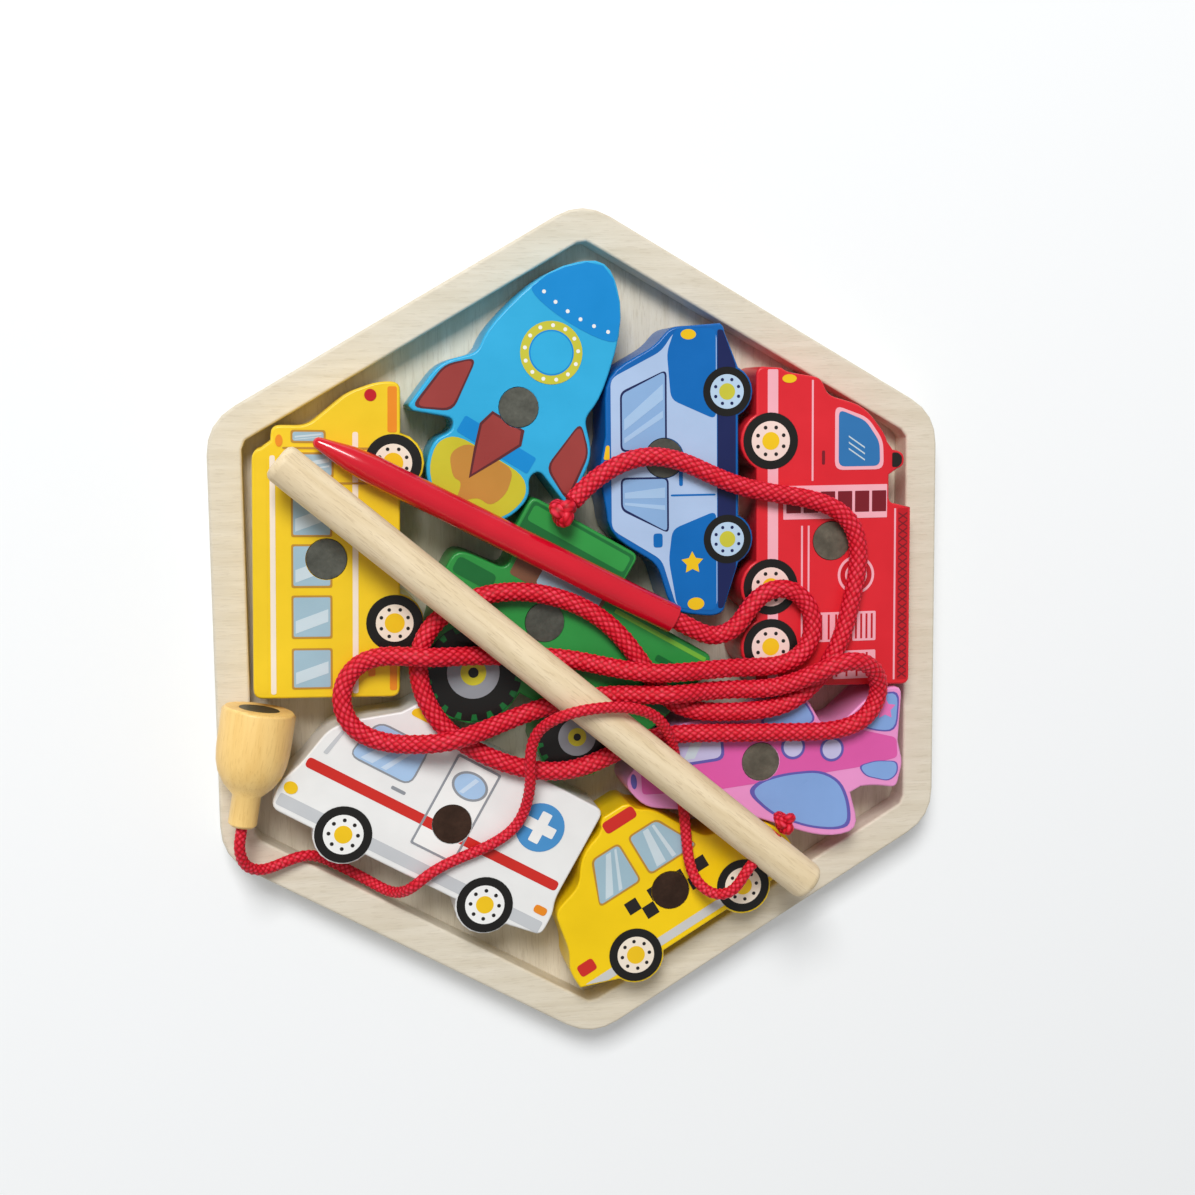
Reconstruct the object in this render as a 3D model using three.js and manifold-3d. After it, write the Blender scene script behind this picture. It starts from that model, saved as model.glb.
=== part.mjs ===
// A wooden fishing puzzle: a six-sided tray with eight chunky vehicles, each with a magnet in its top,
// a fishing rod with a magnetic lure on a line, and a lacing needle on a braided cord.
// Millimetres, +Z up. The origin is the middle of the tray's underside, and +Y is the tray's upper
// corner.
import * as THREE from 'three';
import { NURBSCurve } from 'three/addons/curves/NURBSCurve.js';
import { mergeVertices } from 'three/addons/utils/BufferGeometryUtils.js';
import Module from 'manifold-3d';

const wasm = await Module();
wasm.setup();

// Tray
const BASE_THICKNESS = 3;
const FRAME_THICKNESS = 9;
const RIM_WIDTH = 8.6;
const TRAY_SIDES = 6;
const TRAY_CORNER_RADIUS = 14;
const RECESS_CORNER_RADIUS = 3;
const FRAME_EDGE = 0.8;
const BASE_EDGE = 0.4;

// Fits
const SEAT_GAP = 0.3;
const PIECE_GAP = 0.5;
const RIM_CLEARANCE = 0.5;
const MAGNET_CLEARANCE = 0.2;
const SOCKET_CLEARANCE = 0.3;

// Blocks and their magnets
const BLOCK_THICKNESS = 18;
const BLOCK_EDGE = 0.6;
const MAGNET_DIAMETER = 10;
const MAGNET_THICKNESS = 2.5;

// Rod
const ROD_DIAMETER = 10;
const ROD_LENGTH = 174;
const ROD_END_RADIUS = 2;
const ROD_HOLE_FROM_END = 16;
const LINE_DIAMETER = 3;
const LINE_KNOT_DIAMETER = 6.4;
const LINE_KNOT_LENGTH = 5.6;
const ROD_START = { x: -78.5, y: 46.5 };
const ROD_TURN = -40.2;

// Lure
const LURE_DIAMETER = 18.4;
const LURE_BOWL_LENGTH = 22;
const LURE_NECK_DIAMETER = 7.2;
const LURE_NECK_LENGTH = 8;
const LURE_SOCKET_DEPTH = 8;
const LURE_MAGNET_THICKNESS = 3;
const LURE_FULLNESS = 3;
const LURE_EDGE = 0.8;
const LURE_PLACE = { x: -82.8, y: -16 };
const LURE_TURN = -100;

// Lacing needle and cord
const CORD_DIAMETER = 5;
const CORD_KNOT_DIAMETER = 7.6;
const CORD_KNOT_LENGTH = 7;
const NEEDLE_DIAMETER = 7.4;
const NEEDLE_LENGTH = 101;
const NEEDLE_TAPER_LENGTH = 16;
const NEEDLE_TIP_DIAMETER = 3;
const NEEDLE_SHOULDER = 0.86;
const NEEDLE_SHOULDER_AT = 0.6;
const NEEDLE_SOCKET_DEPTH = 10;
const NEEDLE_TURN = -27.6;
const NEEDLE_ALONG_ROD = 4;

// Facets
const ROUND_SIDES = 24;
const CURVE_STEPS = 4;
const CORD_SIDES = 10;
const LINE_SIDES = 8;
const CORD_STEPS = 120;
const LINE_STEPS = 70;
const BEAD_STEPS = 8;
const BOWL_STEPS = 8;
const MOST_EASED = 0.48;
const WELD = 1e-4;
const SPREAD_ROUNDS = 60;
const SPREAD_SLACK = 0.01;

// Each vehicle is drawn upright: x along it from the middle of its wheelbase, y up from the ground.
const bus = {
  wheels: { left: { x: -20, radius: 7.6 }, right: { x: 20, radius: 7.6 } }, sill: 6, back: -38.7,
  front: 40, bumper: 11.3, hoodFront: { x: 37.2, y: 18.9 }, hoodBack: { x: 28.9, y: 28.8 }, cabTop: 37.6,
  roofFront: 22.8, roof: 42.2, soft: 2.4, magnet: { x: -3.9, y: 24.2 },
  place: { x: -42.2, y: 25, turn: 88.6 },
};
const policeCar = {
  wheels: { left: { x: -18.9, radius: 6.8 }, right: { x: 18.9, radius: 6.8 } }, sill: 3.8, back: 37,
  front: -39, bumperTop: 13, bumperLow: 7.4, deck: 21.6, deckFront: 30.8, beltline: 25.3, roofBack: 23.4,
  roofFront: -16.6, roof: 38.6, sirenBack: 6.8, sirenFront: -3.8, siren: 40.4, hoodBack: -25, hood: 21.6,
  soft: 3, magnet: { x: 2.2, y: 23.4 }, place: { x: 41.4, y: 42, turn: 90 },
};
const fireTruck = {
  wheels: {
    left: { x: -18.9, radius: 7.9 }, middle: { x: 18.9, radius: 7.9 }, right: { x: 34.6, radius: 7.9 },
  },
  sill: 4.2, back: 46, front: -38.6, box: 46.2, boxFront: -2, notch: 40.2, sirenBack: -10.6,
  sirenFront: -16.4, siren: 44.4, screenTop: { x: -20, y: 39.2 }, screenMiddle: { x: -27.5, y: 33.5 },
  screenFoot: { x: -30.5, y: 23.4 }, nose: { x: -35, y: 21.6 }, bumper: 10, soft: 2,
  magnet: { x: 7.3, y: 24.5 }, place: { x: 38.4, y: 30, turn: -90 },
};
const airplane = {
  nose: { x: -42, y: 0 }, chin: { x: -37, y: -7 }, wingRoot: -11.5, belly: -12.6,
  wingTip: { x: 10, y: -22.8 }, wingEnd: { x: 20.4, y: -22.6 }, wingBack: 18.6, tailBelly: -10.6,
  tailplane: { x: 31.6, y: -12.4 }, tailEnd: 34, tailMiddle: 1, finTop: { x: 36, y: 15.2 },
  finFront: { x: 28, y: 14.6 }, finRoot: 18.5, spine: 7.8, upperWingBack: 12.8,
  upperWingTip: { x: 8.6, y: 17.2 }, upperWingFront: -6, cabin: { x: -24, y: 14.4 }, cabinTop: 12.2,
  screen: { x: -33, y: 10.4 }, soft: 3.4, magnet: { x: -4.9, y: 0.4 }, place: { x: 49, y: -35, turn: 6 },
};
const taxi = {
  wheels: { left: { x: -16.8, radius: 7.6 }, right: { x: 16.8, radius: 7.6 } }, sill: 4.4, back: -33.7,
  front: 33.6, bumper: 14, hood: 20.8, hoodBack: 14.6, beltline: 25, roofFront: 7, roof: 38.6,
  lampFront: 3.2, lampBack: -7.6, lamp: 44.2, roofBack: -15.4, screenBack: { x: -20, y: 32 },
  boot: { x: -29, y: 29.4 }, bootLow: 18, soft: 2.6, magnet: { x: -0.2, y: 17.6 },
  place: { x: 27.6, y: -83, turn: 30 },
};
const ambulance = {
  wheels: { left: { x: -20.5, radius: 7.8 }, right: { x: 20.5, radius: 7.8 } }, sill: 5.6, back: 37.8,
  front: -41, bumperTop: 14.6, body: 36.4, roof: 43.4, lampBack: -10.6, lampTop: { x: -18, y: 46.8 },
  lampFront: -23, screenFoot: { x: -32.8, y: 34.4 }, hood: { x: -36.6, y: 29.6 }, grille: 18.6,
  soft: 2.4, magnet: { x: 2.8, y: 22.5 }, place: { x: -51.6, y: -64.6, turn: -30 },
};
const tractor = {
  wheels: { left: { x: -15.9, radius: 13.2 }, right: { x: 15.9, radius: 11 } }, sill: 14, back: -30.4,
  chin: 28, grille: { x: 33, y: 23 }, front: 37.4, hoodLow: 36, hood: 46, cabFront: 6.4, roofFront: 7.2,
  roofBack: -24.5, roofLow: 49.6, roof: 59.6, cabBack: -21.5, fender: { x: -35, y: 39 }, fenderLow: 32,
  soft: 2.2, magnet: { x: -6, y: 33 }, place: { x: -24, y: -27.6, turn: -30 },
};
const rocket = {
  nose: 40, noseHalf: { x: 30, y: 11.4 }, bodyHalf: { x: 10, y: 16.8 }, finStart: { x: 2.4, y: 15.9 },
  finShoulder: { x: -4.4, y: 22.6 }, finTip: { x: -19, y: 24 }, finRoot: { x: -14.5, y: 12.6 },
  tailHalf: 11.2, tail: -17.5, flameHalf: { x: -22, y: 14.4 }, flameSide: { x: -30, y: 12 },
  flameEnd: { x: -36, y: 4 }, soft: 4, sharp: 2, magnet: { x: -3.8, y: 0 },
  place: { x: -16.8, y: 61, turn: 58 },
};

// Heights that follow from the stack
const rimTop = BASE_THICKNESS + FRAME_THICKNESS;
const blockBottom = BASE_THICKNESS + SEAT_GAP;
const blockTop = blockBottom + BLOCK_THICKNESS;
const cordLevel = CORD_DIAMETER + SEAT_GAP * 2;
const cordHeight = blockTop + SEAT_GAP + CORD_DIAMETER / 2;
const rodHeight = blockTop + SEAT_GAP + CORD_DIAMETER + SEAT_GAP + ROD_DIAMETER / 2;
const lineOnBlocks = blockTop + SEAT_GAP + LINE_DIAMETER / 2;
const lineOnCord = blockTop + SEAT_GAP + CORD_DIAMETER + SEAT_GAP + LINE_DIAMETER / 2;
const lineOverRod = rodHeight + ROD_DIAMETER / 2 + SEAT_GAP + LINE_DIAMETER / 2;
const lureHeight = rimTop + SEAT_GAP + LURE_DIAMETER / 2;
const radians = THREE.MathUtils.degToRad;

// The lacing cord after it leaves the needle: x, y and how many strands it lies above.
const cordRoute = [
  [30.2, -1.6, 0], [37, 0.6, 0], [40.4, 6.8, 0], [46, 11.4, 0], [53.4, 10.4, 0], [58, 3.6, 0],
  [56.8, -5, 0], [49.8, -9.8, 0], [39, -9.2, 0], [26, -9.3, 0.6], [13.5, -9.2, 1.4], [2, -7.5, 0.4],
  [-8, -5, 0], [-20, -4.2, 0], [-32.5, -3.4, 0.2], [-44, -2.9, 1.4], [-54.6, -2, 0.3], [-62.2, -5.3, 0],
  [-65.6, -13.5, 0], [-62.2, -21.7, 0], [-54, -25.1, 0], [-47, -25.2, 0.5], [-38, -24.2, 1.4],
  [-27.4, -21.8, 0.3], [-16, -18, 0], [-5, -15.6, 0], [6, -14.8, 0.1], [17, -14.8, 1.4],
  [28, -14.9, 0.2], [38, -15, 0], [47, -15.3, 0.2], [56, -11, 1.1], [64, -7, 1.4], [72.4, -9, 0.8],
  [76.4, -16.8, 0], [72.4, -24.8, 0], [63.5, -27.6, 0], [50, -26.9, 0], [36, -26.6, 0], [24, -25.9, 0],
  [12, -26.6, 0], [2, -31.6, 0], [-8, -35, 0], [-20, -33.4, 0], [-31, -28.6, 0], [-40.5, -21.5, 0],
  [-46, -10, 0], [-45, 1, 0], [-37.5, 9, 0], [-25, 12.8, 0], [-12, 11.6, 0], [0, 6.4, 0], [8, -1.5, 0],
  [14, -11, 0], [20, -19, 0], [29, -20.9, 0], [40, -21, 0], [51, -20.3, 0], [60, -12.4, 0],
  [65.4, -3, 0], [68, 8, 0], [70.4, 19, 0], [68, 29, 0], [58, 34, 0], [46, 35.4, 0], [34, 38.4, 0],
  [24, 44, 0], [14, 46.2, 0], [5, 43.6, 0], [-2, 38.6, 0],
];
const cordEnd = { x: -6, y: 34.4 };

// The line after it leaves the rod: x, y and height.
const lineRoute = [
  [34, -67.2, rodHeight - 0.6], [28.8, -68.4, rodHeight - 3.4], [24.4, -64, lineOnBlocks + 2.4],
  [23.6, -57.5, lineOnBlocks + 0.4], [23.2, -50, lineOnBlocks], [22.2, -41, lineOnBlocks],
  [20.6, -33, lineOnBlocks + 0.8], [17.6, -24.5, lineOnCord + 2.4], [13, -18.6, lineOnCord + 6.2],
  [5.5, -15.8, lineOverRod - 0.8], [-3, -15.4, lineOverRod + 1.2], [-11.4, -16.8, lineOverRod + 0.8],
  [-17, -21.4, lineOverRod - 6], [-18.6, -28, lineOnCord + 2], [-18, -35, lineOnCord + 0.8],
  [-18.4, -42, lineOnBlocks + 2], [-21, -49, lineOnBlocks], [-28.5, -53.4, lineOnBlocks],
  [-37, -56, lineOnBlocks], [-44, -59.2, lineOnBlocks + 0.6], [-48, -63, lineOnBlocks],
  [-52, -66.8, rimTop + 3.4], [-58, -64, rimTop - 1.6], [-64, -60.5, rimTop - 2.4],
  [-70, -57, rimTop - 2.4], [-74.5, -54.6, rimTop + 2.2], [-81.7, -57.1, rimTop + 2.8],
  [-85.4, -58.1, rimTop + 3.8], [-89.7, -56.3, lureHeight - 3],
];

function material(color, roughness, metalness = 0) {
  return new THREE.MeshStandardMaterial({ color, roughness, metalness });
}
const birch = material(0xebe1c8, 0.6);
const lureWood = material(0xf0c382, 0.45);
const magnetSteel = material(0x4b4e48, 0.4, 0.8);
const redBraid = material(0xd71428, 0.75);
const redPlastic = material(0xcd192d, 0.3);
const paint = {
  school_bus: material(0xf5cd1e, 0.35), rocket: material(0x2dafe1, 0.35),
  police_car: material(0x0069b9, 0.35), fire_truck: material(0xe1232d, 0.35),
  airplane: material(0xe15fa5, 0.35), taxi: material(0xfad200, 0.35),
  ambulance: material(0xf0f0ee, 0.35), tractor: material(0x2d9641, 0.35),
};

// Boolean work on closed meshes
function toSolid(geometry) {
  const bare = geometry.clone();
  bare.deleteAttribute('normal');
  bare.deleteAttribute('uv');
  const merged = mergeVertices(bare, WELD);
  const corners = merged.index.array;
  const triangles = [];
  for (let i = 0; i < corners.length; i += 3) {
    const [a, b, c] = corners.slice(i, i + 3);
    if (a !== b && b !== c && c !== a) triangles.push(a, b, c);
  }
  const mesh = new wasm.Mesh({
    numProp: 3,
    vertProperties: Float32Array.from(merged.attributes.position.array),
    triVerts: Uint32Array.from(triangles),
  });
  return new wasm.Manifold(mesh);
}

function cut(geometry, tool) {
  const mesh = toSolid(geometry).subtract(toSolid(tool)).getMesh();
  const result = new THREE.BufferGeometry();
  result.setAttribute('position', new THREE.BufferAttribute(Float32Array.from(mesh.vertProperties), 3));
  result.setIndex(Array.from(mesh.triVerts));
  result.computeVertexNormals();
  return result;
}

// A closed outline through corners given as x, y and the length over which each corner is eased round.
function easedPath(corners, path = new THREE.Shape()) {
  const points = corners.map(([x, y]) => new THREE.Vector2(x, y));
  corners.forEach(([, , ease], i) => {
    const here = points[i];
    const before = points.at(i - 1);
    const after = points[(i + 1) % points.length];
    const start = here.clone().lerp(before, Math.min(ease / here.distanceTo(before), MOST_EASED));
    const end = here.clone().lerp(after, Math.min(ease / here.distanceTo(after), MOST_EASED));
    if (i === 0) path.moveTo(start.x, start.y);
    else path.lineTo(start.x, start.y);
    path.quadraticCurveTo(here.x, here.y, end.x, end.y);
  });
  return path;
}

// The wheels hang below the sill as round bulges of the outline, from the left end to the right end.
function addWheels(path, wheels, sill) {
  for (const { x, radius } of Object.values(wheels)) {
    const lean = Math.asin((radius - sill) / radius);
    path.absarc(x, radius, radius, Math.PI + lean, 2 * Math.PI - lean, false);
  }
  return path;
}

function busShape(s) {
  return addWheels(easedPath([
    [s.front, s.sill, s.soft], [s.front, s.bumper, s.soft], [s.hoodFront.x, s.hoodFront.y, s.soft],
    [s.hoodBack.x, s.hoodBack.y, s.soft], [s.hoodBack.x, s.cabTop, s.soft],
    [s.roofFront + s.soft / 2, s.cabTop, s.soft / 2], [s.roofFront, s.roof, s.soft],
    [s.back, s.roof, s.soft], [s.back, s.sill, s.soft],
  ]), s.wheels, s.sill);
}

function policeShape(s) {
  return addWheels(easedPath([
    [s.back - s.soft / 2, s.bumperLow, s.soft / 2], [s.back, s.bumperTop - s.soft, s.soft / 3],
    [s.back - s.soft / 2, s.bumperTop, s.soft / 3], [s.back - s.soft / 2, s.deck, s.soft],
    [s.deckFront, s.beltline, s.soft], [s.roofBack, s.roof, s.soft * 2],
    [s.sirenBack, s.roof, s.soft / 3], [s.sirenBack - s.soft / 2, s.siren, s.soft / 3],
    [s.sirenFront + s.soft / 2, s.siren, s.soft / 3], [s.sirenFront, s.roof, s.soft / 3],
    [s.roofFront, s.roof, s.soft * 2], [s.hoodBack, s.beltline, s.soft],
    [s.front + s.soft / 2, s.hood, s.soft * 1.5], [s.front, s.bumperLow + s.soft, s.soft],
    [s.front + s.soft / 2, s.bumperLow, s.soft / 2],
  ]), s.wheels, s.sill);
}

function fireShape(s) {
  return addWheels(easedPath([
    [s.back, s.sill, s.soft / 2], [s.back, s.box, s.soft], [s.boxFront, s.box, s.soft / 2],
    [s.boxFront, s.notch, s.soft], [s.sirenBack, s.notch, s.soft / 2],
    [s.sirenBack - s.soft / 2, s.siren, s.soft], [s.sirenFront + s.soft / 2, s.siren, s.soft],
    [s.sirenFront, s.notch, s.soft / 2], [s.screenTop.x, s.screenTop.y, s.soft],
    [s.screenMiddle.x, s.screenMiddle.y, s.soft * 2], [s.screenFoot.x, s.screenFoot.y, s.soft],
    [s.nose.x, s.nose.y, s.soft], [s.front + s.soft, s.bumper + s.soft, s.soft],
    [s.front, s.bumper, s.soft / 2], [s.front + s.soft / 2, s.sill, s.soft],
  ]), s.wheels, s.sill);
}

function airplaneShape(s) {
  return easedPath([
    [s.nose.x, s.nose.y, s.soft], [s.chin.x, s.chin.y, s.soft], [s.wingRoot, s.belly, s.soft],
    [s.wingTip.x, s.wingTip.y, s.soft * 2], [s.wingEnd.x, s.wingEnd.y, s.soft * 1.5],
    [s.wingBack, s.tailBelly, s.soft / 3], [s.tailplane.x - s.soft * 2, s.tailBelly, s.soft],
    [s.tailplane.x, s.tailplane.y, s.soft / 2], [s.tailEnd, s.tailMiddle - s.soft * 2, s.soft / 2],
    [s.tailEnd - s.soft / 4, s.tailMiddle, s.soft / 4], [s.finTop.x, s.finTop.y, s.soft],
    [s.finFront.x, s.finFront.y, s.soft], [s.finRoot, s.spine, s.soft / 2],
    [s.upperWingBack, s.spine, s.soft / 2], [s.upperWingTip.x, s.upperWingTip.y, s.soft / 2],
    [s.upperWingFront, s.cabinTop, s.soft], [s.cabin.x, s.cabin.y, s.soft * 1.5],
    [s.screen.x, s.screen.y, s.soft],
  ]);
}

function taxiShape(s) {
  return addWheels(easedPath([
    [s.front, s.sill, s.soft], [s.front, s.bumper, s.soft],
    [s.front - s.soft * 1.5, s.hood, s.soft * 1.5], [s.hoodBack, s.beltline, s.soft],
    [s.roofFront, s.roof, s.soft], [s.lampFront, s.roof + s.soft, s.soft / 2],
    [s.lampFront - s.soft / 2, s.lamp, s.soft / 2], [s.lampBack + s.soft / 2, s.lamp, s.soft / 2],
    [s.lampBack, s.roof + s.soft, s.soft / 2], [s.roofBack, s.roof, s.soft * 1.5],
    [s.screenBack.x, s.screenBack.y, s.soft], [s.boot.x, s.boot.y, s.soft],
    [s.back + s.soft, s.bootLow, s.soft], [s.back, s.bumper, s.soft],
    [s.back, s.sill + s.soft, s.soft / 2],
  ]), s.wheels, s.sill);
}

function ambulanceShape(s) {
  return addWheels(easedPath([
    [s.back, s.sill + s.soft / 2, s.soft], [s.back, s.bumperTop - s.soft / 2, s.soft],
    [s.body, s.bumperTop + s.soft, s.soft], [s.body, s.roof, s.soft], [s.lampBack, s.roof, s.soft],
    [s.lampTop.x + s.soft, s.lampTop.y, s.soft], [s.lampTop.x - s.soft, s.lampTop.y, s.soft / 2],
    [s.lampFront, s.roof - s.soft, s.soft / 2], [s.screenFoot.x, s.screenFoot.y, s.soft],
    [s.hood.x, s.hood.y, s.soft], [s.front + s.soft, s.grille, s.soft],
    [s.front, s.bumperTop - s.soft, s.soft], [s.front + s.soft / 2, s.sill, s.soft],
  ]), s.wheels, s.sill);
}

function tractorShape(s) {
  return addWheels(easedPath([
    [s.chin, s.sill, s.soft], [s.grille.x, s.grille.y, s.soft], [s.front, s.hoodLow, s.soft],
    [s.front, s.hood, s.soft], [s.cabFront, s.hood, s.soft / 2], [s.roofFront, s.roofLow, s.soft / 2],
    [s.roofFront, s.roof, s.soft], [s.roofBack, s.roof, s.soft], [s.roofBack, s.roofLow, s.soft / 2],
    [s.cabBack, s.roofLow - s.soft, s.soft / 2], [s.cabBack, s.fender.y + s.soft / 2, s.soft],
    [s.fender.x, s.fender.y, s.soft * 2], [s.fender.x, s.fenderLow, s.soft], [s.back, s.sill, s.soft],
  ]), s.wheels, s.sill);
}

function rocketShape(s) {
  const side = [
    [s.noseHalf.x, s.noseHalf.y, s.soft * 2.5], [s.bodyHalf.x, s.bodyHalf.y, s.soft * 2.5],
    [s.finStart.x, s.finStart.y, s.sharp], [s.finShoulder.x, s.finShoulder.y, s.soft],
    [s.finTip.x, s.finTip.y, s.sharp], [s.finRoot.x, s.finRoot.y, s.sharp],
    [s.tail, s.tailHalf, s.sharp], [s.flameHalf.x, s.flameHalf.y, s.soft],
    [s.flameSide.x, s.flameSide.y, s.soft], [s.flameEnd.x, s.flameEnd.y, s.soft],
  ];
  const otherSide = side.map(([x, y, ease]) => [x, -y, ease]).reverse();
  return easedPath([[s.nose, 0, s.soft * 1.5], ...side, ...otherSide]);
}

const vehicles = [
  { name: 'school_bus', sizes: bus, shape: busShape(bus) },
  { name: 'rocket', sizes: rocket, shape: rocketShape(rocket) },
  { name: 'police_car', sizes: policeCar, shape: policeShape(policeCar) },
  { name: 'fire_truck', sizes: fireTruck, shape: fireShape(fireTruck) },
  { name: 'airplane', sizes: airplane, shape: airplaneShape(airplane) },
  { name: 'taxi', sizes: taxi, shape: taxiShape(taxi) },
  { name: 'ambulance', sizes: ambulance, shape: ambulanceShape(ambulance) },
  { name: 'tractor', sizes: tractor, shape: tractorShape(tractor) },
];

// The lure lies beside the bus and the ambulance, with its bowl on the rim.
const lureLength = LURE_BOWL_LENGTH + LURE_NECK_LENGTH;
const lureRadius = LURE_DIAMETER / 2;
const neckRadius = LURE_NECK_DIAMETER / 2;
const bowl = Array.from({ length: BOWL_STEPS + 1 }, (_, i) => {
  const part = i / BOWL_STEPS;
  const swell = Math.cos((Math.PI / 2) * part ** LURE_FULLNESS);
  return [neckRadius + (lureRadius - neckRadius) * swell, LURE_BOWL_LENGTH * part];
});
const lureSide = [...bowl, [neckRadius, lureLength]];
const lure = {
  name: 'lure',
  sizes: { place: { ...LURE_PLACE, turn: LURE_TURN } },
  shape: new THREE.Shape([
    ...lureSide.map(([radius, along]) => new THREE.Vector2(along, -radius)),
    ...lureSide.toReversed().map(([radius, along]) => new THREE.Vector2(along, radius)),
  ]),
};

// The plan of a piece where it lies in the tray
function plan(piece) {
  const { x, y, turn } = piece.sizes.place;
  const origin = new THREE.Vector2();
  return piece.shape.getPoints(CURVE_STEPS)
    .map((point) => point.clone().rotateAround(origin, radians(turn)).add(new THREE.Vector2(x, y)));
}

function isInside(point, outline) {
  let inside = false;
  outline.forEach((a, i) => {
    const b = outline.at(i - 1);
    const crosses = (a.y > point.y) !== (b.y > point.y);
    if (crosses && point.x < ((b.x - a.x) * (point.y - a.y)) / (b.y - a.y) + a.x) inside = !inside;
  });
  return inside;
}

// How far the points of one outline stay from the edges of another: less than zero where they lie
// inside it.
function clearance(points, outline) {
  const edge = new THREE.Line3();
  const nearest = new THREE.Vector3();
  let least = Infinity;
  for (const point of points) {
    const spot = new THREE.Vector3(point.x, point.y, 0);
    let distance = Infinity;
    outline.forEach((a, i) => {
      const b = outline.at(i - 1);
      edge.start.set(a.x, a.y, 0);
      edge.end.set(b.x, b.y, 0);
      distance = Math.min(distance, edge.closestPointToPoint(spot, true, nearest).distanceTo(spot));
    });
    least = Math.min(least, isInside(point, outline) ? -distance : distance);
  }
  return least;
}

// Pieces that lie too close are moved straight apart until each keeps the gap to its neighbours.
function spread(pieces) {
  const origin = new THREE.Vector2();
  const sum = (outline) => outline.reduce((total, p) => total.add(p), origin.clone());
  const middle = (outline) => sum(outline).divideScalar(outline.length);
  for (let round = 0; round < SPREAD_ROUNDS; round += 1) {
    let moved = false;
    pieces.forEach((first, i) => pieces.slice(i + 1).forEach((second) => {
      const a = plan(first);
      const b = plan(second);
      const shortfall = PIECE_GAP - Math.min(clearance(a, b), clearance(b, a));
      if (shortfall < SPREAD_SLACK) return;
      const push = middle(b).sub(middle(a)).setLength(shortfall / 2);
      first.sizes.place.x -= push.x;
      first.sizes.place.y -= push.y;
      second.sizes.place.x += push.x;
      second.sizes.place.y += push.y;
      moved = true;
    }));
    if (!moved) break;
  }
}
spread([...vehicles, lure]);

// The tray is made round the vehicles: the recess clears the furthest of them, with the rim round it.
const sideAngle = (2 * Math.PI) / TRAY_SIDES;
const flatAngles = Array.from({ length: TRAY_SIDES }, (_, i) => i * sideAngle);
const reach = Math.max(...vehicles.flatMap((vehicle) => plan(vehicle).flatMap((point) => flatAngles
  .map((angle) => point.x * Math.cos(angle) + point.y * Math.sin(angle)))));
const recessHalf = reach + RIM_CLEARANCE;
const trayHalf = recessHalf + RIM_WIDTH;

function hexagon(half, radius, path = new THREE.Shape()) {
  const corner = half / Math.cos(sideAngle / 2);
  const ease = radius * Math.tan(sideAngle / 2);
  return easedPath(flatAngles.map((angle) => {
    const at = angle + sideAngle / 2;
    return [corner * Math.cos(at), corner * Math.sin(at), ease];
  }), path);
}

// The outline's points, without those so close together that a rounded edge would fold there
function thinned(points, spacing) {
  return points.filter((point, i) => point.distanceTo(points.at(i - 1)) > spacing);
}

// An outline raised to a thickness, with its long edges rounded, standing on z = 0
function raise(shape, thickness, edge) {
  const outline = shape.extractPoints(CURVE_STEPS);
  const clean = new THREE.Shape(thinned(outline.shape, edge));
  clean.holes = outline.holes.map((hole) => new THREE.Path(thinned(hole, edge)));
  const geometry = new THREE.ExtrudeGeometry(clean, {
    depth: thickness - 2 * edge,
    bevelThickness: edge,
    bevelSize: edge,
    bevelOffset: -edge,
    bevelSegments: 2,
  });
  return geometry.translate(0, 0, edge);
}

// A turned body whose axis is +X: the profile is radius and distance along the axis
function turned(profile) {
  const points = profile.map(([radius, along]) => new THREE.Vector2(radius, along));
  return new THREE.LatheGeometry(points, ROUND_SIDES).rotateZ(-Math.PI / 2);
}

function disc(diameter, thickness) {
  const radius = diameter / 2;
  return new THREE.CylinderGeometry(radius, radius, thickness, ROUND_SIDES).rotateX(Math.PI / 2)
    .translate(0, 0, thickness / 2);
}

const group = new THREE.Group();

function add(name, geometry, look, parent = group) {
  const mesh = new THREE.Mesh(geometry, look);
  mesh.name = name;
  parent.add(mesh);
  return mesh;
}

// Tray
add('tray_base', raise(hexagon(trayHalf, TRAY_CORNER_RADIUS), BASE_THICKNESS, BASE_EDGE), birch);
const frameShape = hexagon(trayHalf, TRAY_CORNER_RADIUS);
frameShape.holes.push(hexagon(recessHalf, RECESS_CORNER_RADIUS, new THREE.Path()));
add('tray_frame', raise(frameShape, FRAME_THICKNESS, FRAME_EDGE), birch).position.z = BASE_THICKNESS;

// Vehicles, each with its magnet let into its top
const pocketDepth = MAGNET_THICKNESS + SEAT_GAP;
for (const { name, sizes, shape } of vehicles) {
  const { place, magnet } = sizes;
  const seat = new THREE.Group();
  seat.position.set(place.x, place.y, blockBottom);
  seat.rotation.z = radians(place.turn);
  const pocket = disc(MAGNET_DIAMETER + 2 * MAGNET_CLEARANCE, pocketDepth + BLOCK_EDGE)
    .translate(magnet.x, magnet.y, BLOCK_THICKNESS - pocketDepth);
  add(name, cut(raise(shape, BLOCK_THICKNESS, BLOCK_EDGE), pocket), paint[name], seat);
  add(`${name}_magnet`, disc(MAGNET_DIAMETER, MAGNET_THICKNESS), magnetSteel, seat)
    .position.set(magnet.x, magnet.y, BLOCK_THICKNESS - MAGNET_THICKNESS);
  group.add(seat);
}

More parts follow.
